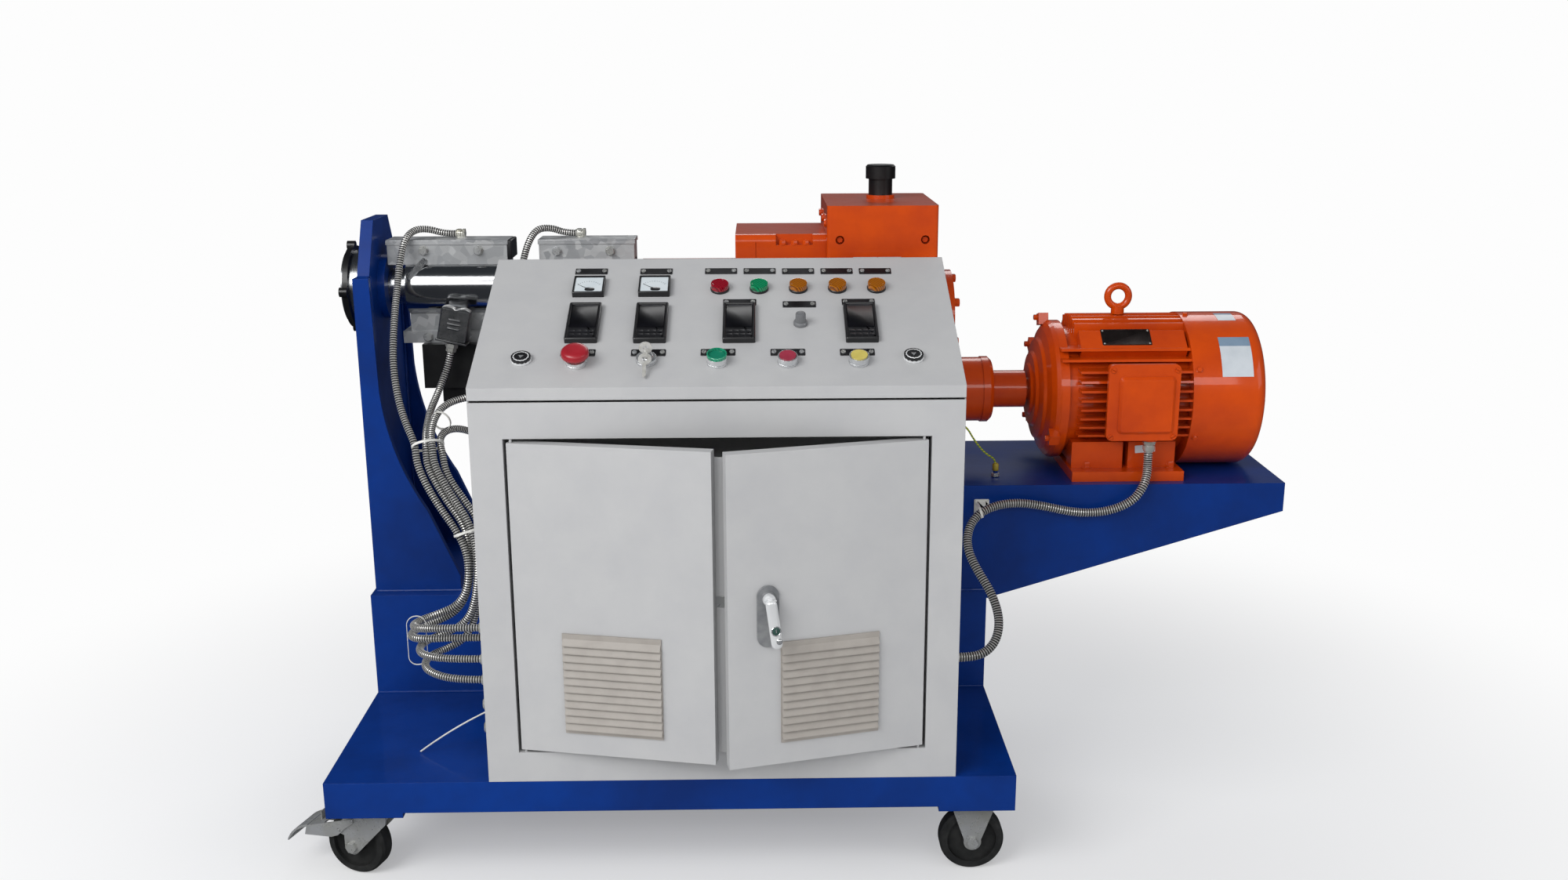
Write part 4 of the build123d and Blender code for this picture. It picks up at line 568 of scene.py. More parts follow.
def slot_screw(radius, turn):
    """Round-head screw: two half domes of rings on a thin base, with the slot left between them."""
    base = loft(ring_outline(radius * 0.96, 20), [(0, 0), (0, radius * 0.15)])
    halves = []
    for side in (0, 1):
        step = np.linspace(SLOT_ANGLE, math.pi - SLOT_ANGLE, 10) + side * math.pi + turn
        outline = radius * np.stack([np.cos(step), np.sin(step)], 1)
        halves.append(loft(outline, [(0, 0), (0, radius * 0.25), (radius * 0.13, radius * 0.5)]))
    return joined([base, *halves])


def on_lid(name, places, shape, lift, material):
    """One piece that rides on the lid: the shape at each place, lifted off the lid's face."""
    return show(name, [on_panel(at, shape, lift) for at in places], material, "console_lid")


label_plate = loft(slab_outline(*LABEL_SIZE, 1.2, 3), [(0, 0), (0, LABEL_THICK - 0.3), (0.3, LABEL_THICK)])
on_lid("label_plates", LABEL_AT, label_plate, 0, black_plastic)
label_screws = [on_panel((x + side * LABEL_SCREW_OUT, up), slot_screw(LABEL_SCREW_R, i * 0.7 + side),
                         LABEL_THICK) for i, (x, up) in enumerate(LABEL_AT) for side in (-1, 1)]
show("label_screws", label_screws, zinc, "console_lid")


# Two moving-iron meters: a square black bezel, a white card with a tick scale, a black pointer at rest on
# the left and the black cover of the movement below.
METER_AT = [(-200.0, 254.0), (-100.0, 254.0)]
METER_SIZE = 48.0
METER_PROUD = 9.0
CARD = (41.5, 38.5)
SCALE_R = 21.0
SCALE_UP = -13.0
TICKS = 11
TICK_FIRST = 140
TICK_STEP = 10
POINTER_REST = 143
METER_RIM = [(0, 0), (0, METER_PROUD - 0.8), (0.8, METER_PROUD), (2.6, METER_PROUD), (3.2, METER_PROUD - 1.4)]
meter_frame = loft(slab_outline(METER_SIZE, METER_SIZE, 1.6, 4), METER_RIM)
frames = on_lid("meter_frames", METER_AT, meter_frame, 0, black_plastic)
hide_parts("panel_meters")
card_white = moulded("meter_card", "#d6dde0", "#ccd5da", 0.3, 2.0, 0.0, 0.6)
card_ink = moulded("meter_ink", "#1c1c1e", "#2a2a2c", 0.4, 2.0, 0.0, 0.4)
card = loft(slab_outline(*CARD, 0.8, 2), [(0, 0), (0, 0.3)])
on_lid("meter_cards", METER_AT, card, METER_PROUD - 1.3, card_white)
marks = []
for at in METER_AT:
    for k in range(TICKS):
        angle = math.radians(TICK_FIRST - TICK_STEP * k)
        way = (math.cos(angle), math.sin(angle), 0)
        tick = loft(slab_outline(3.4 if k % 5 == 0 else 2.0, 0.45, 0.1, 1), [(0, 0), (0, 0.12)])
        tick = put(tick, (way[0] * SCALE_R, SCALE_UP + way[1] * SCALE_R, 0), way)
        marks.append(on_panel(at, tick, METER_PROUD - 1.0))
    angle = math.radians(POINTER_REST)
    pointer = loft(np.array([(0.0, -0.7), (21.5, -0.15), (21.5, 0.15), (0.0, 0.7)]), [(0, 0), (0, 0.2)])
    pointer = put(pointer, (0, SCALE_UP, 0), (math.cos(angle), math.sin(angle), 0))
    marks.append(on_panel(at, pointer, METER_PROUD - 0.7))
    cover = put(loft(slab_outline(15.0, 9.0, 4.2, 5), [(0, 0), (0, 0.5), (0.4, 0.8)]), (2.0, -14.0, 0))
    marks.append(on_panel(at, cover, METER_PROUD - 1.0))
show("meter_marks", marks, card_ink, "console_lid")


# Four temperature and speed controllers: upright black cases with a bevelled bezel round a smoked window,
# and a row of rubber keys under it.
CONTROLLER_AT = [(-200.0, 156.0), (-100.0, 155.0), (30.0, 154.0), (210.0, 153.0)]
CONTROLLER_SIZE = (48.0, 96.0)
CONTROLLER_PROUD = 9.0
KEY_COLUMNS = (-13.8, -4.6, 4.6, 13.8)
KEY_ROWS = (-27.5, -36.5)
BEZEL = [(0, 0), (0, CONTROLLER_PROUD - 1.2), (1.2, CONTROLLER_PROUD), (3.4, CONTROLLER_PROUD),
         (4.6, CONTROLLER_PROUD - 1.6)]
bezel = loft(slab_outline(*CONTROLLER_SIZE, 2.4, 4), BEZEL)
cases = on_lid("controller_bezels", CONTROLLER_AT, bezel, 0, black_plastic)
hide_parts("panel_controllers")
smoked = moulded("smoked_window", "#0b0b0e", "#121217", 0.3, 2.0, 0.0, 0.0)
smoked.node_tree.nodes["Principled BSDF"].inputs["Specular IOR Level"].default_value = 0.2
window = put(loft(slab_outline(38.6, 60.0, 1.0, 2), [(0, 0), (0, 0.5), (0.3, 0.7)]), (0, 12.6, 0))
on_lid("controller_windows", CONTROLLER_AT, window, CONTROLLER_PROUD - 1.6, smoked)
key_rubber = moulded("key_rubber", "#17171b", "#1f1f24", 0.5, 0.6, 0.01, 0.0)
keycap = loft(slab_outline(8.2, 6.0, 1.2, 3), [(0, 0), (0, 0.4), (0.4, 0.6)])
keypad = joined([put(keycap, (dx, dy, 0)) for dx in KEY_COLUMNS for dy in KEY_ROWS])
on_lid("controller_keys", CONTROLLER_AT, keypad, CONTROLLER_PROUD - 1.6, key_rubber)
# A thin grey line across the top of each window is a painted highlight along a groove.
groove_highlight_line = put(loft(slab_outline(31.0, 0.9, 0.3, 2), [(0, 0), (0, 0.25)]), (0, 39.4, 0))
groove_highlight_grey = moulded("groove_highlight_grey", "#55565a", "#4a4b4f", 0.35, 0.6, 0.0, 0.0)
on_lid("controller_groove_highlights", CONTROLLER_AT, groove_highlight_line, CONTROLLER_PROUD - 0.9, groove_highlight_grey)


# Pilot lamps: a black rim with a flat coloured lens, moulded with fine ridges on its underside, so bands of
# deep and bright colour cross it. One is red, one green and three amber.
LAMP_AT = [(x, 250.0) for x in (0.0, 60.0, 120.0, 180.0, 240.0)]
LAMP_R = 14.5
LAMP_HIGH = 12.0
LENS = {"red": ("#b5122a", "#6d0417", LAMP_AT[:1]), "green": ("#12a86e", "#06643f", LAMP_AT[1:2]),
        "amber": ("#c8770f", "#7c3f04", LAMP_AT[2:])}
rim = loft(ring_outline(LAMP_R, 40), [(0, 0), (0, 3.2), (0.6, 3.8), (1.5, 3.8), (1.5, 0)], True)
rims = on_lid("lamp_rims", LAMP_AT, rim, 0, black_plastic)
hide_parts("pilot_lamps")
lens_shape = loft(ring_outline(LAMP_R - 0.8, 40),
                  [(0, 0.5), (0, LAMP_HIGH - 1.4), (0.4, LAMP_HIGH - 0.4), (1.4, LAMP_HIGH),
                   (2.6, LAMP_HIGH), (3.2, LAMP_HIGH - 0.5)])


def coloured_lens(name, colour, deep):
    """Clear coloured plastic: fine moulded ridges in diagonal bands turn the colour from deep to bright."""
    material, tree, shader = finish(name, {"Roughness": 0.12, "IOR": 1.49, "Transmission Weight": 0.25,
                                           "Coat Weight": 0.5, "Coat Roughness": 0.04})
    place = add(tree, "ShaderNodeTexCoord").outputs["Object"]
    rings = add(tree, "ShaderNodeTexWave", {"Vector": place, "Scale": 130.0, "Distortion": 0.4},
                bands_direction="DIAGONAL")
    mix = add(tree, "ShaderNodeMix", {"Factor": rings.outputs["Fac"], "A": linear(deep),
                                      "B": linear(colour)}, data_type="RGBA")
    tree.links.new(mix.outputs["Result"], shader.inputs["Base Color"])
    return material


for hue, (colour, deep, places) in LENS.items():
    lens_piece = on_lid("lamp_lens_" + hue, places, lens_shape, 0,
                        coloured_lens("lens_" + hue, colour, deep))
    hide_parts("pilot_lamps")


# Push buttons slide in knurled chromed collars; the green one sits behind a clear green guard. The stop
# button is a red mushroom head.
BUTTON_AT = {"green": (-1.0, 57.0), "red": (100.0, 57.0), "yellow": (202.0, 57.0)}
BUTTON_HUE = {"green": ("#117a5e", "#0d6850"), "red": ("#9c2c42", "#8a2238"),
              "yellow": ("#cbbb60", "#bbaa50")}
ESTOP_AT = (-202.0, 57.0)
KEY_AT = (-102.0, 62.0)
COLLAR_R = 14.5


def knurled(radius, count, depth):
    """Round outline with shallow flutes: the radius falls by depth times a cosine of count turns."""
    step = np.arange(count * 4) * 2 * math.pi / (count * 4)
    reach = radius - depth * (0.5 + 0.5 * np.cos(step * count))
    return reach[:, None] * np.stack([np.cos(step), np.sin(step)], 1)


wear(chrome, "switch_collars")
grip = loft(knurled(COLLAR_R + 0.5, 36, 0.45), [(0, 0.2), (0, 3.4), (0.7, 4.0), (0.7, 0.2)], True)
on_lid("collar_grips", [*BUTTON_AT.values(), ESTOP_AT, KEY_AT], grip, 0, chrome)
for hue, (colour, faded) in BUTTON_HUE.items():
    wear(moulded("button_" + hue + "_plastic", colour, faded, 0.3, 1.0, 0.01, 0.35), "button_" + hue)
guard = loft(ring_outline(COLLAR_R, 40), [(0, 12.1), (0, 16.4), (0.5, 17.0), (1.6, 17.0), (1.9, 16.4),
                                          (1.9, 12.1)], True)
on_lid("green_button_guard", [BUTTON_AT["green"]], guard, 0,
       coloured_lens("guard_green", "#2fae86", "#1f8d6a"))
mushroom = loft(ring_outline(20.0, 48), [(12.0, 5.5), (12.0, 12.5), (4.0, 13.2), (1.0, 14.4), (0.2, 15.6),
                                         (0, 17.5), (0, 20.5), (0.7, 22.6), (2.2, 24.4), (4.6, 25.8),
                                         (8.0, 26.6), (12.0, 27.0), (17.0, 27.0)])
stop_red = moulded("stop_red_plastic", "#a31c29", "#941622", 0.36, 0.8, 0.01, 0.2)
stop = show("emergency_stop_head", [on_panel(ESTOP_AT, mushroom)], stop_red, "emergency_stop")
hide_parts("emergency_stop")


# The key switch: a chromed barrel with a flat key standing in it. A second key of the same cut hangs from
# its bow on a split ring and lies against the panel.
KEY_STEEL = "#deddda"
KEY_CUTS = 12
key_metal = plated("nickel_silver_key", KEY_STEEL, "#c4c2ba", 0.22, 12.0, (1, 1, 1), 1.0, 0.01, 0.4)


def key_blank(length):
    """Flat key drawn in X and Y with its bow's centre at the origin: a ring for the bow, whose hole takes
    the split ring, and a blade with a cut edge whose tip points along -Y."""
    bow = loft(ring_outline(9.6, 32), [(0, -1.1), (0, 1.1), (5.8, 1.1), (5.8, -1.1)], True)
    down = np.linspace(8.0, length, KEY_CUTS)
    cut = 2.7 - 0.9 * np.abs(np.sin(np.arange(KEY_CUTS) * 1.3))
    plain_edge = np.stack([np.full(KEY_CUTS, -3.0), -down], 1)
    cut_edge = np.stack([cut, -down], 1)
    outline = np.concatenate([plain_edge, [(0.0, -length - 3.0)], cut_edge[::-1]])
    return joined([bow, loft(outline, [(0, -0.9), (0, 0.9)])])


barrel_lock = loft(ring_outline(10.0, 36), [(0, 2.5), (0, 9.5), (0.8, 10.5), (6.5, 10.5)])
standing_key = facing(key_blank(11.0), (0, 0, 24.0))
lock_body = show("key_barrel", [on_panel(KEY_AT, barrel_lock)], chrome, "key_switch")
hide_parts("key_switch")
upright_key = show("key_in_switch", [on_panel(KEY_AT, standing_key)], key_metal, "key_switch")
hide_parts("key_switch")
ring_step = np.linspace(0, 2 * math.pi, 49)
ring_line = np.stack([8.5 * np.cos(ring_step), 8.5 * np.sin(ring_step), 0.35 * np.sin(ring_step / 2)], 1)
split_ring = put(tube_along(ring_line, 0.7, 8), (0.6, -7.5, 21.0), (0, 1, 0.25), (1, 0, 0.1))
spare_key = put(key_blank(28.0), (-0.5, -16.0, 15.5), (1, 0, 0), (0, -0.37, 0.93))
show("spare_key", [on_panel(KEY_AT, split_ring), on_panel(KEY_AT, spare_key)], key_metal, "key_switch")


# The speed knob: grey plastic with a ribbed grip above a round skirt, and a white spot on the skirt.
KNOB_AT = (121.0, 154.0)
knob_grey = moulded("knob_grey_plastic", "#77787a", "#6a6b6e", 0.45, 0.8, 0.01, 0.1)
skirt = loft(ring_outline(10.5, 40), [(0, 0.3), (0, 4.2), (0.8, 5.4), (2.6, 6.2)])
ribbed = loft(knurled(7.9, 18, 0.7), [(0, 6.0), (0.3, 17.8), (1.0, 19.4), (2.2, 20.0)])
knob = show("speed_knob_grip", [on_panel(KNOB_AT, skirt), on_panel(KNOB_AT, ribbed)], knob_grey,
            "speed_knob")
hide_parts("speed_knob")
spot_white = moulded("spot_white", "#e8e8e6", "#dededc", 0.4, 1.0, 0.0, 0.0)
spot = put(loft(ring_outline(1.3, 16), [(0, 0), (0, 0.25)]), (5.6, -7.2, 4.9), (1, 0, 0), (0.25, -0.3, 1))
show("speed_knob_spot", [on_panel(KNOB_AT, spot)], spot_white, "speed_knob")


# Quarter-turn lid locks: a black barrel with a triangular key recess, in a fluted chromed ring.
LOCK_AT = {"left": (-281.0, 66.5), "right": (281.0, 66.5)}
wear(black_plastic, "lid_lock_left", "lid_lock_right")
for side, at in LOCK_AT.items():
    ring = loft(knurled(15.0, 14, 0.7), [(0, 0.3), (0, 2.6), (2.2, 6.2), (3.4, 7.8), (4.6, 7.8), (4.6, 7.2),
                                         (2.4, 0.3)], True)
    show("lid_lock_ring_" + side, [on_panel(at, ring)], pearl_chrome, "lid_lock_" + side)
    recess = loft(ring_outline(4.4, 3, 0.5), [(0, 0), (0, 0.4), (1.2, 0.4)])
    show("lid_lock_key_" + side, [on_panel(at, recess, 7.3)], chrome, "lid_lock_" + side)


# The barrel is a turned and ground steel tube with a machined die flange. A blacked clamp ring with four
# lugs goes round the flange.
turned_steel = plated("turned_steel", "#b8babc", "#a6a8ab", 0.24, 40.0, (40, 1, 1), 12.0, 0.02)
black_steel = moulded("blacked_steel", "#0e0e10", "#191919", 0.36, 2.5, 0.06, 0.1)
wear(turned_steel, "barrel")
wear(black_steel, "die_clamp")


# Heater jackets are rolled from polished stainless sheet, so they draw long reflections that waver a
# little. The terminal boxes over them and the clamp strips below are galvanised sheet with the spangle of
# the zinc bath, held by hexagon bolts.
BOX_SPANS = [(-560.0, -360.0), (-307.0, -148.0)]
BOX_FRONT = 449.0
BOX_TOP = 937.0
SPANGLE = 14.0
AXIS_Y = 477.0
BOX_BACK = 2 * AXIS_Y - BOX_FRONT
BOX_BOLT_AT = [(-499.0, 921.0), (-408.0, 921.0), (-277.3, 919.0), (-187.8, 919.0), (-500.0, 775.0),
               (-435.0, 775.0), (-262.0, 775.0), (-195.0, 775.0)]
LID_OVERHANG = 3
TAB_AT = (-511.0, 440.5, 891.0)


def spangled(name, colour, dark):
    """Hot-dip zinc: crystal patches SPANGLE millimetres wide, each with its own shade and gloss."""
    material, tree, shader = finish(name, {"Metallic": 0.45, "Roughness": 0.38})
    place = add(tree, "ShaderNodeTexCoord").outputs["Object"]
    crystals = add(tree, "ShaderNodeTexVoronoi", {"Vector": place, "Scale": 1000 / SPANGLE})
    grey = add(tree, "ShaderNodeSeparateColor", {"Color": crystals.outputs["Color"]})
    mix = add(tree, "ShaderNodeMix", {"Factor": grey.outputs["Red"], "A": linear(dark),
                                      "B": linear(colour)}, data_type="RGBA")
    rough = add(tree, "ShaderNodeMapRange", {"Value": grey.outputs["Green"], "To Min": 0.3, "To Max": 0.5})
    dents = add(tree, "ShaderNodeTexNoise", {"Vector": place, "Scale": 22.0, "Detail": 2.0})
    edge = add(tree, "ShaderNodeBevel", {"Radius": 0.001}, samples=4)
    bump = add(tree, "ShaderNodeBump", {"Height": dents.outputs["Fac"], "Distance": 0.003, "Strength": 0.4,
                                        "Normal": edge.outputs["Normal"]})
    feed(tree, shader, {"Base Color": mix.outputs["Result"], "Normal": bump.outputs["Normal"],
                        "Roughness": rough.outputs["Result"]})
    return material


stainless = plated("polished_stainless", "#d3d4d5", "#c6c8ca", 0.11, 90.0, (0.25, 1, 1), 45.0, 0.25)
galvanised = spangled("galvanised_sheet", "#c3c4c4", "#a2a4a6")
wear(stainless, "heater_shells")
wear(galvanised, "heater_boxes")
box_bolts = [put(bolt(12.5, 6.0), (x, y, z), (math.cos(x), 0, math.sin(x)), (0, out, 0))
             for y, out in ((BOX_FRONT, -1), (BOX_BACK, 1)) for x, z in BOX_BOLT_AT]
show("heater_bolts", box_bolts, zinc, "machine")
box_lids = []
for x0, x1 in BOX_SPANS:
    middle = (x0 + x1) / 2
    lid_plate = loft(slab_outline(x1 - x0 + LID_OVERHANG, 59.0, 1.5, 2), [(0, 0), (0, 1.0), (0.5, 1.5)])
    box_lids.append(put(lid_plate, (middle, AXIS_Y, BOX_TOP)))
    lip = loft(slab_outline(x1 - x0 + LID_OVERHANG, 7.0, 1.0, 2), [(0, 0), (0, 1.2)])
    for y, out in ((BOX_FRONT - 0.2, -1), (BOX_BACK + 0.2, 1)):
        box_lids.append(put(lip, (middle, y, BOX_TOP - 3.0), (1, 0, 0), (0, out, 0)))
show("heater_box_lids", box_lids, galvanised, "machine")
end_cap = put(loft(slab_outline(32.0, 58.0, 2.5, 3), [(0, 0), (0, 6.0), (1.2, 7.5)]),
              (-360.0, AXIS_Y, 922.0), (0, 0, 1), (1, 0, 0))
show("heater_box_end", [end_cap], black_plastic, "machine")
tab = put(loft(slab_outline(46.0, 10.0, 3.0, 3), [(0, 0), (0, 1.4), (0.3, 1.8)]), TAB_AT,
          (0.66, 0.38, 0.72), (0.1, -1, 0.45))
show("jacket_clamp_tab", [tab], stainless, "machine")


# The heater plug is a cast aluminium housing with finger ridges, a rolled bottom flange, a wire clip over
# its top and a hexagon gland that takes the conduit. It is tilted on its socket.
PLUG_AT = np.array([-446.0, 409.0, 802.0])
PLUG_TILT = math.radians(12.0)
PLUG_X = np.array([math.cos(PLUG_TILT), 0, -math.sin(PLUG_TILT)])
PLUG_UP = np.array([math.sin(PLUG_TILT), 0, math.cos(PLUG_TILT)])
cast_aluminium = plated("cast_aluminium", "#8f9091", "#77787a", 0.33, 14.0, (1, 1, 1), 1.8, 0.08)
wire_steel = plated("spring_wire", "#e2e3e2", "#cfd0cf", 0.15, 20.0, (1, 1, 1), 2.0, 0.01, 0.6)


def on_plug(across, out, up, shape, flat=True):
    """Place a shape on the tilted plug: its Z points forward if it lies flat on the front, else upward."""
    origin = PLUG_AT + PLUG_X * across + PLUG_UP * up + np.array([0, -1, 0]) * out
    return put(shape, origin, PLUG_X, (0, -1, 0) if flat else PLUG_UP)


plug_case = loft(slab_outline(50.0, 56.0, 4.0, 5), [(0, 0), (0, 20.0), (2.5, 24.0)])
plug_flange = loft(slab_outline(53.0, 27.0, 3.0, 4), [(0, 0), (0, 2.6), (0.6, 3.2)])
plug_parts = [on_plug(0, -12.0, 1.0, plug_case), on_plug(0, 0, -29.0, plug_flange, False)]
for k, length in enumerate((20.0, 23.0, 20.0)):
    finger = loft(slab_outline(length, 3.6, 1.7, 4), [(0, -1.0), (0, 0.6), (0.6, 1.4), (1.4, 1.8)])
    plug_parts.append(on_plug(0, 12.0, 10.0 - 7.5 * k, finger))
plug_parts.append(facing(loft(slab_outline(32.0, 26.0, 2.0, 3), [(0, 0), (0, 29.0)]), (-446.0, 446.0, 813.0)))
plug_body = show("heater_plug_body", plug_parts, cast_aluminium, "machine")
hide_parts("power_plug")
plug_nut = loft(ring_outline(10.5, 6), [(0, 0), (0, 6.5), (0.9, 7.3)])
plug_cap = loft(ring_outline(8.6, 6), [(0, 7.2), (0, 14.0), (0.8, 14.8)])
show("heater_plug_gland", [put(nut, PLUG_AT - PLUG_UP * 31.5, PLUG_X, -PLUG_UP)
                           for nut in (plug_nut, plug_cap)], zinc, "machine")
clip_line = np.array([(-24, 4, 22), (-22, 10, 29), (-14, 13, 32), (-6, 12, 30), (0, 14, 27), (6, 12, 30),
                      (14, 13, 32.5), (22, 10, 29), (24, 4, 22)], float)
clip_share = np.linspace(0, len(clip_line) - 1, 65)
clip_line = np.stack([np.interp(clip_share, np.arange(len(clip_line)), clip_line[:, k]) for k in range(3)], 1)
clip_line[1:-1] = (clip_line[:-2] + 2 * clip_line[1:-1] + clip_line[2:]) / 4
clips = []
for back in (0.0, 9.0):
    places = PLUG_AT + clip_line[:, :1] * PLUG_X + clip_line[:, 2:] * PLUG_UP
    places = places + (clip_line[:, 1:2] - back) * np.array([0, -1, 0])
    clips.append(tube_along(places, 1.1, 8))
show("heater_plug_clip", clips, wire_steel, "machine")


# The blower under the first jacket is black painted sheet, as are the rim of the breather cap and its
# neck.
wear(black_steel, "barrel_blower", "breather_cap")


# The gear case, thrust housing, feed block, coupling and motor are castings in thick orange enamel. Gloss
# paint over sand-cast iron shows a coarse, soft orange peel, deeper in colour in the hollows.
ORANGE = "#cf4904"
ORANGE_DEEP = "#ba3b03"
CAST_GRAIN = 5.0
orange_enamel = enamel("orange_enamel", ORANGE, ORANGE_DEEP, 0.28, CAST_GRAIN, 0.3, 0.6, 90.0)
wear(orange_enamel, "gearbox_housing", "thrust_housing", "feed_section", "drive_coupling", "motor_body",
     "motor_end_bell", "motor_fan_cover", "motor_terminal_box", "lifting_eye")
gear_bolts = [facing(bolt(9.5, 5.0), (x, 369.5, 945.0), (1, 0, 0.3)) for x in (191.0, 329.0)]
gear_bolts += [put(bolt(10.0, 6.5), (x, 385.0, 935.0), (1, 0.4, 0)) for x in (99.0, 118.0, 137.0)]
gear_bolts += [put(bolt(11.0, 3.0), (170.0, y, 970.0), (0, 1, 0.2), (-1, 0, 0))
               for y in (384.0, 477.0, 570.0)]
gear_bolts += [put(bolt(13.0, 8.0), (386.0, AXIS_Y + 66 * math.cos(a), 800 + 66 * math.sin(a)), (0, 1, 0),
                   (1, 0, 0)) for a in np.radians(np.arange(6) * 60 + 30)]
gear_bolts += [put(bolt(15.0, 9.0), (x, y, 562.0), (1, 0.2, 0))
               for x in (156.0, 352.0) for y in (353.5, 600.5)]
show("gear_bolts", gear_bolts, orange_enamel, "machine")


# The motor's bolts and screws are painted over with the same enamel. Its bare nameplate is etched aluminium
# on four drive rivets, the cowl has a wire grille, and blank paper stickers are on the cowl and a foot.
MOTOR_Z = 672.0
SHOULDER = math.radians(39.0)
SHOULDER_OUT = 127.0
COWL_R = 132.0
COWL_FACE = (903.0, AXIS_Y, MOTOR_Z)
BELL_BOLT_OUT = 124
SHOULDER_NORMAL = np.array([0, -math.sin(SHOULDER), math.cos(SHOULDER)])
SHOULDER_UP = np.array([0, math.cos(SHOULDER), math.sin(SHOULDER)])
PLATE_AT = np.array([674.5, AXIS_Y, MOTOR_Z]) + SHOULDER_OUT * SHOULDER_NORMAL + 6.8 * SHOULDER_UP
motor_bolts = []
for angle in np.radians([120.0, -15.0, -62.0, -125.0]):
    at = (545.0, AXIS_Y - BELL_BOLT_OUT * math.sin(angle), MOTOR_Z + BELL_BOLT_OUT * math.cos(angle))
    motor_bolts.append(put(bolt(9.0, 6.0), at, (0, 1, 0), (-1, 0, 0)))
motor_bolts += [put(bolt(15.0, 9.0), (x, y, 557.0), (1, 0.3, 0))
                for x in (610.0, 752.0) for y in (376.0, 578.0)]
for angle in np.radians([8.0, 65.0, 117.0, 180.0, -65.0, -117.0]):
    out = np.array([0, -math.sin(angle), math.cos(angle)])
    at = np.array([788.0, AXIS_Y, MOTOR_Z]) + (COWL_R - 0.3) * out
    motor_bolts.append(put(bolt(8.0, 3.5), at, (1, 0, 0), out))
motor_bolts += [facing(slot_screw(4.6, x * 0.3 + z), (x, 319.0, z))
                for x, z in ((636.0, 735.5), (740.5, 735.5), (740.5, 623.5), (636.0, 623.5))]
for radius in np.arange(24.0, 110.0, 11.0):
    wire = loft(ring_outline(radius, 64), [(-1.1, 0), (-1.1, 1.6), (1.1, 1.6), (1.1, 0)], True)
    motor_bolts.append(put(wire, COWL_FACE, (0, 1, 0), (1, 0, 0)))
bar = put(loft(slab_outline(96.0, 3.0, 1.0, 2), [(0, 0), (0, 2.2)]), (62.0, 0, 0))
for angle in np.radians(np.arange(8) * 45):
    turned_bar = put(bar, (0, 0, 0), (math.cos(angle), math.sin(angle), 0))
    motor_bolts.append(put(turned_bar, COWL_FACE, (0, 1, 0), (1, 0, 0)))
show("motor_fasteners", motor_bolts, orange_enamel, "machine")
# A thin black disc under the grille is painted shadow: it stands for the shaded inside of the cowl.
inlet_shadow_disc = put(loft(ring_outline(105.0, 64), [(0, 0), (0, 0.3)]), COWL_FACE, (0, 1, 0), (1, 0, 0))
show("cowl_inlet_shadow", [inlet_shadow_disc], black_steel, "machine")
etched = plated("etched_aluminium", "#6b5f5b", "#4f4542", 0.4, 25.0, (1, 1, 1), 2.0, 0.01)
nameplate = loft(slab_outline(83.0, 35.0, 2.0, 3), [(0, 0), (0, 0.5), (0.3, 0.8), (2.2, 0.8), (2.5, 0.6)])
rivets = [put(loft(ring_outline(1.9, 16), [(0, 0), (0.3, 0.7), (1.0, 1.1)]),
              PLATE_AT + np.array([dx, 0, 0]) + SHOULDER_UP * up + SHOULDER_NORMAL * 0.7,
              (1, 0, 0), SHOULDER_NORMAL) for dx in (-38, 38) for up in (-14, 14)]
show("motor_nameplate", [put(nameplate, PLATE_AT, (1, 0, 0), SHOULDER_NORMAL)], etched, "machine")
show("nameplate_rivets", rivets, zinc, "machine")


def cowl_sticker(x0, x1, angle0, angle1):
    """Paper on the cowl: a grid of x and angle, at the cowl's radius plus the paper's thickness."""
    x, angle = np.meshgrid(np.linspace(x0, x1, 5), np.radians(np.linspace(angle0, angle1, 17)))
    reach = COWL_R + 0.25
    points = np.stack([x, AXIS_Y - reach * np.sin(angle), MOTOR_Z + reach * np.cos(angle)], 2).reshape(-1, 3)
    first = (np.arange(16)[:, None] * 5 + np.arange(4)[None, :]).reshape(-1)
    return points, np.stack([first, first + 5, first + 6, first + 1], 1).tolist()


paper = moulded("sticker_paper", "#c9cfd4", "#bfc6cc", 0.45, 3.0, 0.0, 0.2)
paper_band = moulded("sticker_band", "#7d93a8", "#71889e", 0.45, 3.0, 0.0, 0.2)
foot_paper = facing(loft(slab_outline(34.0, 13.0, 1.0, 2), [(0, 0), (0, 0.3)]), (709.0, 371.0, 590.0),
                    (1, 0, 0.08))
show("cowl_stickers", [cowl_sticker(826, 878, 46.5, 70.3), cowl_sticker(838, 868, 8, 19), foot_paper],
     paper, "machine")
show("cowl_sticker_bands", [cowl_sticker(826, 878, 38.5, 46.5), cowl_sticker(838, 868, 4, 8)], paper_band,
     "machine")


# Conduit glands of nickel-plated brass: a hexagon that screws into the sheet, and a ribbed cap nut that
# grips the conduit. The two on the heater boxes lie on a small saddle.
GLAND_LENGTH = 20.0
LEFT_GLANDS = [(90.0, 391.0), (112.0, 366.0), (90.0, 340.0), (90.0, 306.0), (90.0, 266.0), (90.0, 227.0)]


def gland(radius):
    """Gland standing on its seat, along Z: a hexagon, a thread and a fluted cap nut that tapers in."""
    hexagon = loft(ring_outline(radius * 1.08, 6), [(0, 0), (0, 5.0), (radius * 0.08, 5.6)])
    thread = loft(ring_outline(radius * 0.82, 28), [(0, 5.0), (0, 9.0)])
    nut = loft(knurled(radius, 12, radius * 0.05), [(0, 8.5), (0, 15.0), (radius * 0.12, 18.5),
                                                    (radius * 0.25, GLAND_LENGTH)])
    return joined([hexagon, thread, nut])


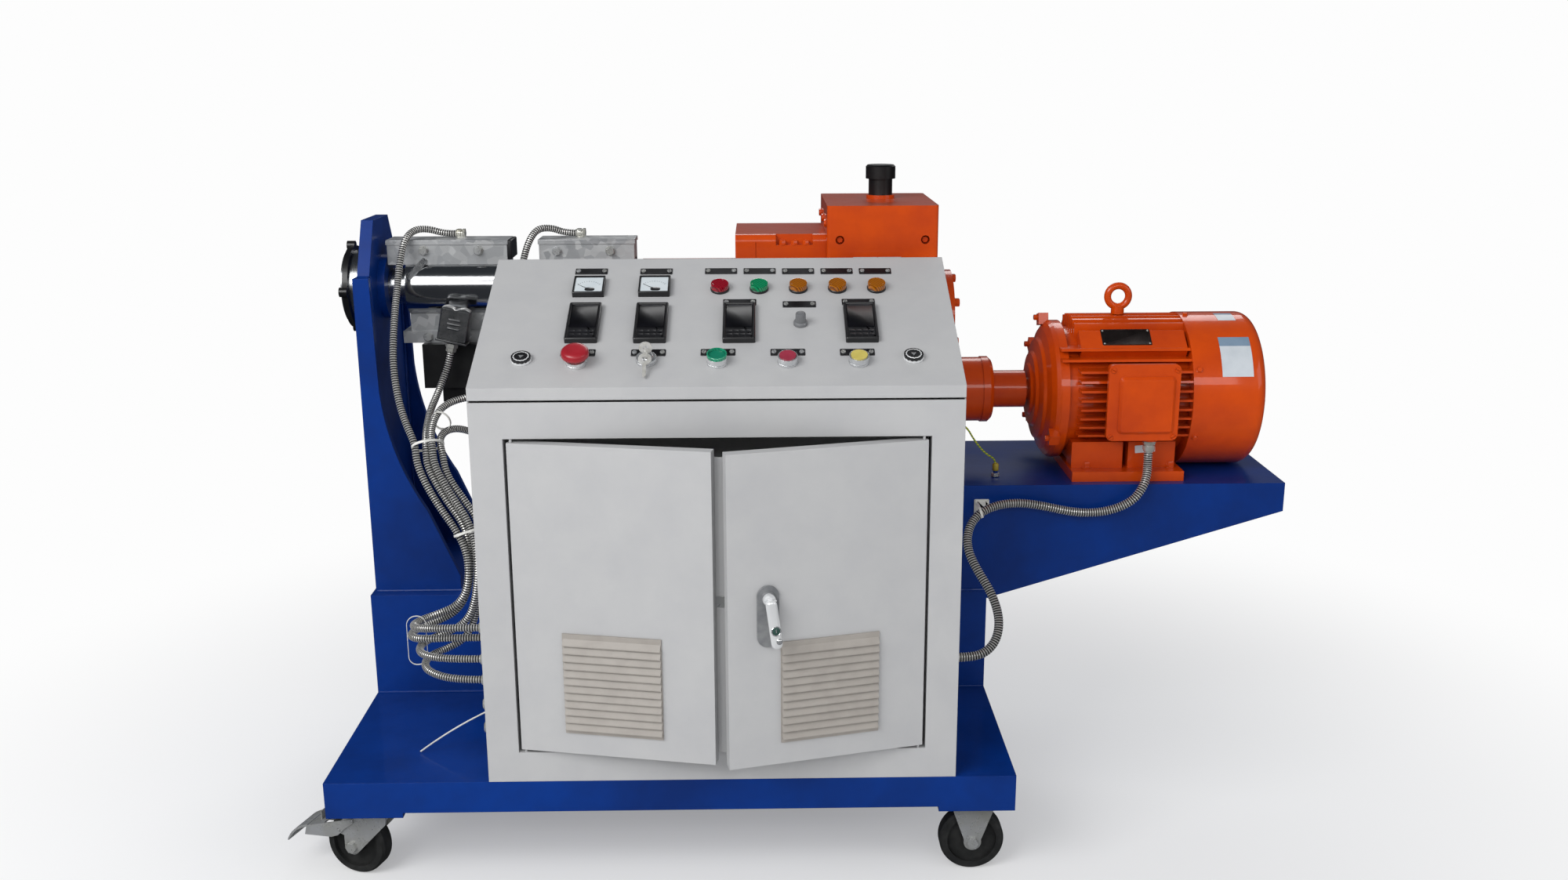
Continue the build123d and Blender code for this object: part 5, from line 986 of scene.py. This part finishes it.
nickel = plated("nickel_plated_brass", "#d6d6d1", "#c2bfb0", 0.2, 15.0, (1, 1, 1), 2.0, 0.01, 0.6)
glands = [put(gland(10.0), (-350.0, y, z), (0, 1, 0), (-1, 0, 0)) for y, z in LEFT_GLANDS]
glands.append(put(gland(11.0), (350.0, 150.0, 309.0), (0, 1, 0), (1, 0, 0)))
glands.append(put(gland(10.0), (706.0, 338.0, 613.0), (0, 1, 0), (0, 0, -1)))
glands.append(put(gland(10.0), (-400.0, 470.0, 664.0), (0, 1, 0), (0, 0, -1)))
for x in (-452.0, -249.0):
    points, faces = gland(8.0)
    points = points * np.array([1, 1, 0.8])
    glands.append(put((points, faces), (x + 16.0, 490.0, 945.0), (0, 1, 0), (-1, 0, 0)))
    saddle = loft(slab_outline(10.0, 12.0, 1.0, 2), [(0, 0), (0, 6.0)])
    glands.append(put(saddle, (x + 8.0, 490.0, 937.0)))
gland_piece = show("conduit_glands", glands, nickel, "machine")
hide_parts("cable_glands")


# Flexible conduits of wound galvanised strip. Each turn of the strip stands up as a rounded ridge, and
# they hang in a loose bundle from the barrel to the glands low on the cabinet's left side.
RIDGE_PITCH = 4.0
RIDGE_HEIGHT = 0.9
CONDUIT_R = 6.0
MOTOR_CONDUIT_R = 7.5
EARTH_R = 1.5
# The steel colour on top of each turn carries a painted highlight; the colour in the grooves is painted
# shade.
CONDUIT_STEEL_AND_HIGHLIGHT = "#eeede9"
CONDUIT_GROOVE_SHADOW = "#242322"
CONDUIT_ROUTES = {
    "heater_conduit_front": [
        (-452, 490, 945), (-472, 490, 945), (-495, 480, 954), (-515, 462, 955), (-526, 436, 942),
        (-531, 416, 912), (-533, 397, 874), (-534, 370, 832), (-533, 345, 794), (-532, 328, 758),
        (-527, 313, 723), (-518, 297, 689), (-505, 279, 661), (-490, 262, 637), (-486, 250, 606),
        (-472, 240, 576), (-450, 230, 540), (-425, 220, 507), (-407, 208, 474), (-403, 197, 440),
        (-409, 195, 408), (-426, 196, 386), (-450, 190, 377), (-474, 172, 374), (-484, 146, 375),
        (-474, 118, 380), (-448, 98, 387), (-406, 90, 391), (-370, 90, 391)],
    "plug_conduit": [
        (-454.54, 409, 761.83), (-459.51, 409, 738.42), (-469, 400, 712), (-477, 378, 688),
        (-482, 350, 671), (-481, 321, 657), (-479, 295, 645), (-475, 271, 630), (-472, 256, 605),
        (-459, 246, 580), (-438, 236, 547), (-414, 227, 515), (-404, 222, 480), (-403, 212, 444),
        (-409, 210, 405), (-426, 211, 374), (-452, 205, 360), (-480, 185, 356), (-491, 154, 357),
        (-480, 126, 360), (-452, 114, 364), (-409, 112, 366), (-370, 112, 366)],
    "heater_conduit_rear": [
        (-249, 490, 945), (-268, 490, 945), (-289, 479, 955), (-311, 461, 955), (-323, 438, 935),
        (-331, 415, 900), (-337, 396, 858), (-343, 384, 815), (-352, 377, 771), (-369, 373, 731),
        (-393, 370, 702), (-421, 364, 689), (-445, 348, 686), (-460, 326, 679), (-467, 302, 665),
        (-468, 280, 648), (-463, 263, 631), (-459, 251, 607), (-447, 240, 585), (-427, 230, 554),
        (-404, 219, 522), (-391, 206, 486), (-388, 196, 448), (-394, 196, 402), (-406, 199, 366),
        (-430, 197, 346), (-458, 184, 340), (-476, 158, 338), (-473, 128, 337), (-453, 105, 338),
        (-412, 90, 340), (-370, 90, 340)],
    "blower_conduit": [
        (-400, 470, 644), (-400, 470, 624), (-399, 458, 603), (-397, 434, 594), (-398, 404, 600),
        (-405, 377, 616), (-418, 354, 633), (-435, 333, 644), (-449, 313, 646), (-456, 294, 640),
        (-454, 280, 629), (-448, 268, 616), (-444, 257, 598), (-434, 248, 578), (-413, 239, 551),
        (-390, 229, 519), (-387, 222, 488), (-386, 211, 450), (-391, 211, 405), (-400, 212, 358),
        (-417, 207, 326), (-442, 196, 315), (-465, 174, 313), (-470, 142, 312), (-456, 113, 309),
        (-413, 90, 306), (-370, 90, 306)],
    "motor_conduit": [
        (706, 338, 593), (706, 338, 574), (702, 324, 555), (692, 311, 537), (676, 306, 518),
        (648, 308, 503), (613, 313, 495), (574, 312, 498), (533, 311, 508), (492, 311, 515),
        (453, 308, 513), (419, 298, 501), (400, 281, 480), (396, 258, 453), (410, 236, 424),
        (431, 214, 393), (441, 192, 362), (437, 172, 336), (421, 158, 317), (396, 150, 309),
        (370, 150, 309)],
}
EARTH_ROUTE = [
    (350, 280, 660), (364, 280, 660), (384, 294, 656), (400, 316, 641), (412, 332, 620),
    (427, 347, 599), (441, 362, 584), (454, 377, 574), (459, 382, 564), (459, 382, 552)]


def route_curve(name, route):
    """One open NURBS spline with the route's points as its control points, in metres."""
    curve = bpy.data.curves.new(name, "CURVE")
    curve.dimensions = "3D"
    curve.resolution_u = 24
    spline = curve.splines.new("NURBS")
    spline.points.add(len(route) - 1)
    spline.points.foreach_set("co", np.c_[metres(route), np.ones(len(route))].ravel())
    spline.order_u = 3
    spline.use_endpoint_u = True
    return curve


def line_of(curve):
    """The spline's own line as points in metres, read from the curve with no bevel."""
    holder = bpy.data.objects.new("route", curve)
    mesh = bpy.data.meshes.new_from_object(holder)
    points = np.empty(len(mesh.vertices) * 3)
    mesh.vertices.foreach_get("co", points)
    bpy.data.objects.remove(holder)
    bpy.data.meshes.remove(mesh)
    return points.reshape(-1, 3)


def evenly(line, pitch):
    """Points at equal steps of arc length along a line: each coordinate is read at the wanted lengths."""
    steps = np.linalg.norm(np.diff(line, axis=0), axis=1)
    keep = np.r_[True, steps > 1e-7]
    line = line[keep]
    length = np.r_[0, np.cumsum(np.linalg.norm(np.diff(line, axis=0), axis=1))]
    count = max(2, round(length[-1] / pitch))
    wanted = np.linspace(0, length[-1], count + 1)
    return np.stack([np.interp(wanted, length, line[:, k]) for k in range(3)], 1), length[-1]


def ridged_steel():
    """Galvanised strip: a dull zinc metal with painted shade in the grooves between the turns and a
    painted highlight on top of each turn, with duller lengths.
    """
    material, tree, shader = finish("wound_galvanised_strip", {"Metallic": 0.6})
    place = add(tree, "ShaderNodeTexCoord").outputs["Object"]
    ridge = add(tree, "ShaderNodeAttribute", attribute_name="ridge")
    ridge_highlight_share = add(tree, "ShaderNodeMapRange", {"Value": ridge.outputs["Fac"], "From Min": 0.25,
                                             "From Max": 0.95})
    mix = add(tree, "ShaderNodeMix", {"Factor": ridge_highlight_share.outputs["Result"], "A": linear(CONDUIT_GROOVE_SHADOW),
                                      "B": linear(CONDUIT_STEEL_AND_HIGHLIGHT)}, data_type="RGBA")
    dull = add(tree, "ShaderNodeTexNoise", {"Vector": place, "Scale": 18.0, "Detail": 3.0})
    rough = add(tree, "ShaderNodeMapRange", {"Value": dull.outputs["Fac"], "From Min": 0.35, "From Max": 0.7,
                                             "To Min": 0.24, "To Max": 0.42})
    feed(tree, shader, {"Base Color": mix.outputs["Result"], "Roughness": rough.outputs["Result"]})
    return material


conduit_steel = ridged_steel()
for node, route in CONDUIT_ROUTES.items():
    outer = MOTOR_CONDUIT_R if node == "motor_conduit" else CONDUIT_R
    line, length = evenly(line_of(route_curve(node + "_route", route)), RIDGE_PITCH / 4000)
    wave = 0.5 + 0.5 * np.cos(np.arange(len(line)) * math.pi / 2)
    sides = 14
    tube = tube_along(line * 1000 - SHIFT, outer - RIDGE_HEIGHT * (1 - wave), sides)
    piece = show(node + "_wound", [tube], conduit_steel, "machine")
    # The ridge share paints shade into each groove and a highlight on top of each turn.
    shade = piece.data.attributes.new("ridge", "FLOAT", "POINT")
    shade.data.foreach_set("value", np.repeat(wave, sides).astype(np.float32))
    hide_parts(node)

earth_sheath, earth_tree, earth_shader = finish("earth_wire_sheath", {"Roughness": 0.45})
earth_around = add(earth_tree, "ShaderNodeTexCoord").outputs["Object"]
earth_band = add(earth_tree, "ShaderNodeTexWave", {"Vector": earth_around, "Scale": 60.0},
                 bands_direction="Z")
earth_mix = add(earth_tree, "ShaderNodeMix", {"Factor": earth_band.outputs["Fac"], "A": linear("#c9bd2e"),
                                              "B": linear("#4f8a3a")}, data_type="RGBA")
feed(earth_tree, earth_shader, {"Base Color": earth_mix.outputs["Result"]})
line, length = evenly(line_of(route_curve("earth_wire_route", EARTH_ROUTE)), 0.003)
earth = show("earth_wire_sheathed", [tube_along(line * 1000 - SHIFT, EARTH_R, 10)], earth_sheath, "machine")
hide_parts("earth_wire")


# White nylon ties gather the bundle where it hangs, hold its loops at the glands and hold the motor
# conduit to a stick-on mount. The earth wire ends in a yellow crimped sleeve above a nut on its stud.
TIES = [((-403, 218, 503), (0.3, -0.25, -0.9), 25.0), ((-471, 268, 632), (0.2, -0.5, -0.85), 26.0),
        ((-457, 312, 662), (-0.3, -0.9, -0.3), 17.0)]
NYLON_BAND = [(0, -1.9), (0, 1.9), (1.1, 1.9), (1.1, -1.9)]
EARTH_STUD = (459.0, 382.0)
nylon = moulded("white_nylon", "#e2e1dc", "#d2d1ca", 0.4, 0.7, 0.01, 0.1)
bands = []
for centre, way, radius in TIES:
    bands.append(put(loft(ring_outline(radius, 44), NYLON_BAND, True), centre, (1, 0, 0), way))
    catch = loft(slab_outline(5.0, 5.6, 0.8, 2), [(0, -2.6), (0, 2.2), (0.5, 2.6)])
    bands.append(put(put(catch, (0, -radius - 1.2, 0)), centre, (1, 0, 0), way))
hairpin = loft(slab_outline(30.0, 82.0, 14.5, 8), [(0, -1.2), (0, 1.2), (0.9, 1.2), (0.9, -1.2)], True)
bands.append(put(hairpin, (-480.0, 150.0, 347.0), (1, 0, 0), (0.2, -1, 0)))
tail_share = np.linspace(0, 1, 24)[:, None]
tail = (np.array([-351.0, 100, 256]) * (1 - tail_share) ** 2 + np.array([-416.0, 100, 226]) * 2 * tail_share
        * (1 - tail_share) + np.array([-474.0, 99, 182]) * tail_share ** 2)
bands.append(tube_along(tail, 1.3, 8))
mount = loft(slab_outline(25.0, 25.0, 2.0, 3), [(0, 0), (0, 2.0), (1.0, 2.6), (6.0, 4.0)])
bands.append(facing(mount, (428.5, 328.0, 504.0)))
mount_tie = loft(slab_outline(42.0, 20.0, 9.6, 6), NYLON_BAND, True)
bands.append(put(mount_tie, (423.0, 309.0, 503.0), (0.12, -1, 0.05), (1, 0, 0.3)))
show("nylon_ties", bands, nylon, "machine")
sleeve = put(loft(ring_outline(5.4, 28), [(2.6, -1.0), (0.6, 0), (0, 1.0), (0, 10.0), (1.2, 12.0),
                                         (3.2, 13.5)]), (*EARTH_STUD, 551.0))
show("earth_sleeve", [sleeve], moulded("yellow_sleeve", "#a8952f", "#8c7c2e", 0.5, 0.7, 0.01, 0.0), "machine")
show("earth_nut", [put(loft(ring_outline(7.0, 6), [(0, 0), (0, 5.0), (0.8, 5.8)]), (*EARTH_STUD, 541.0))],
     zinc, "machine")
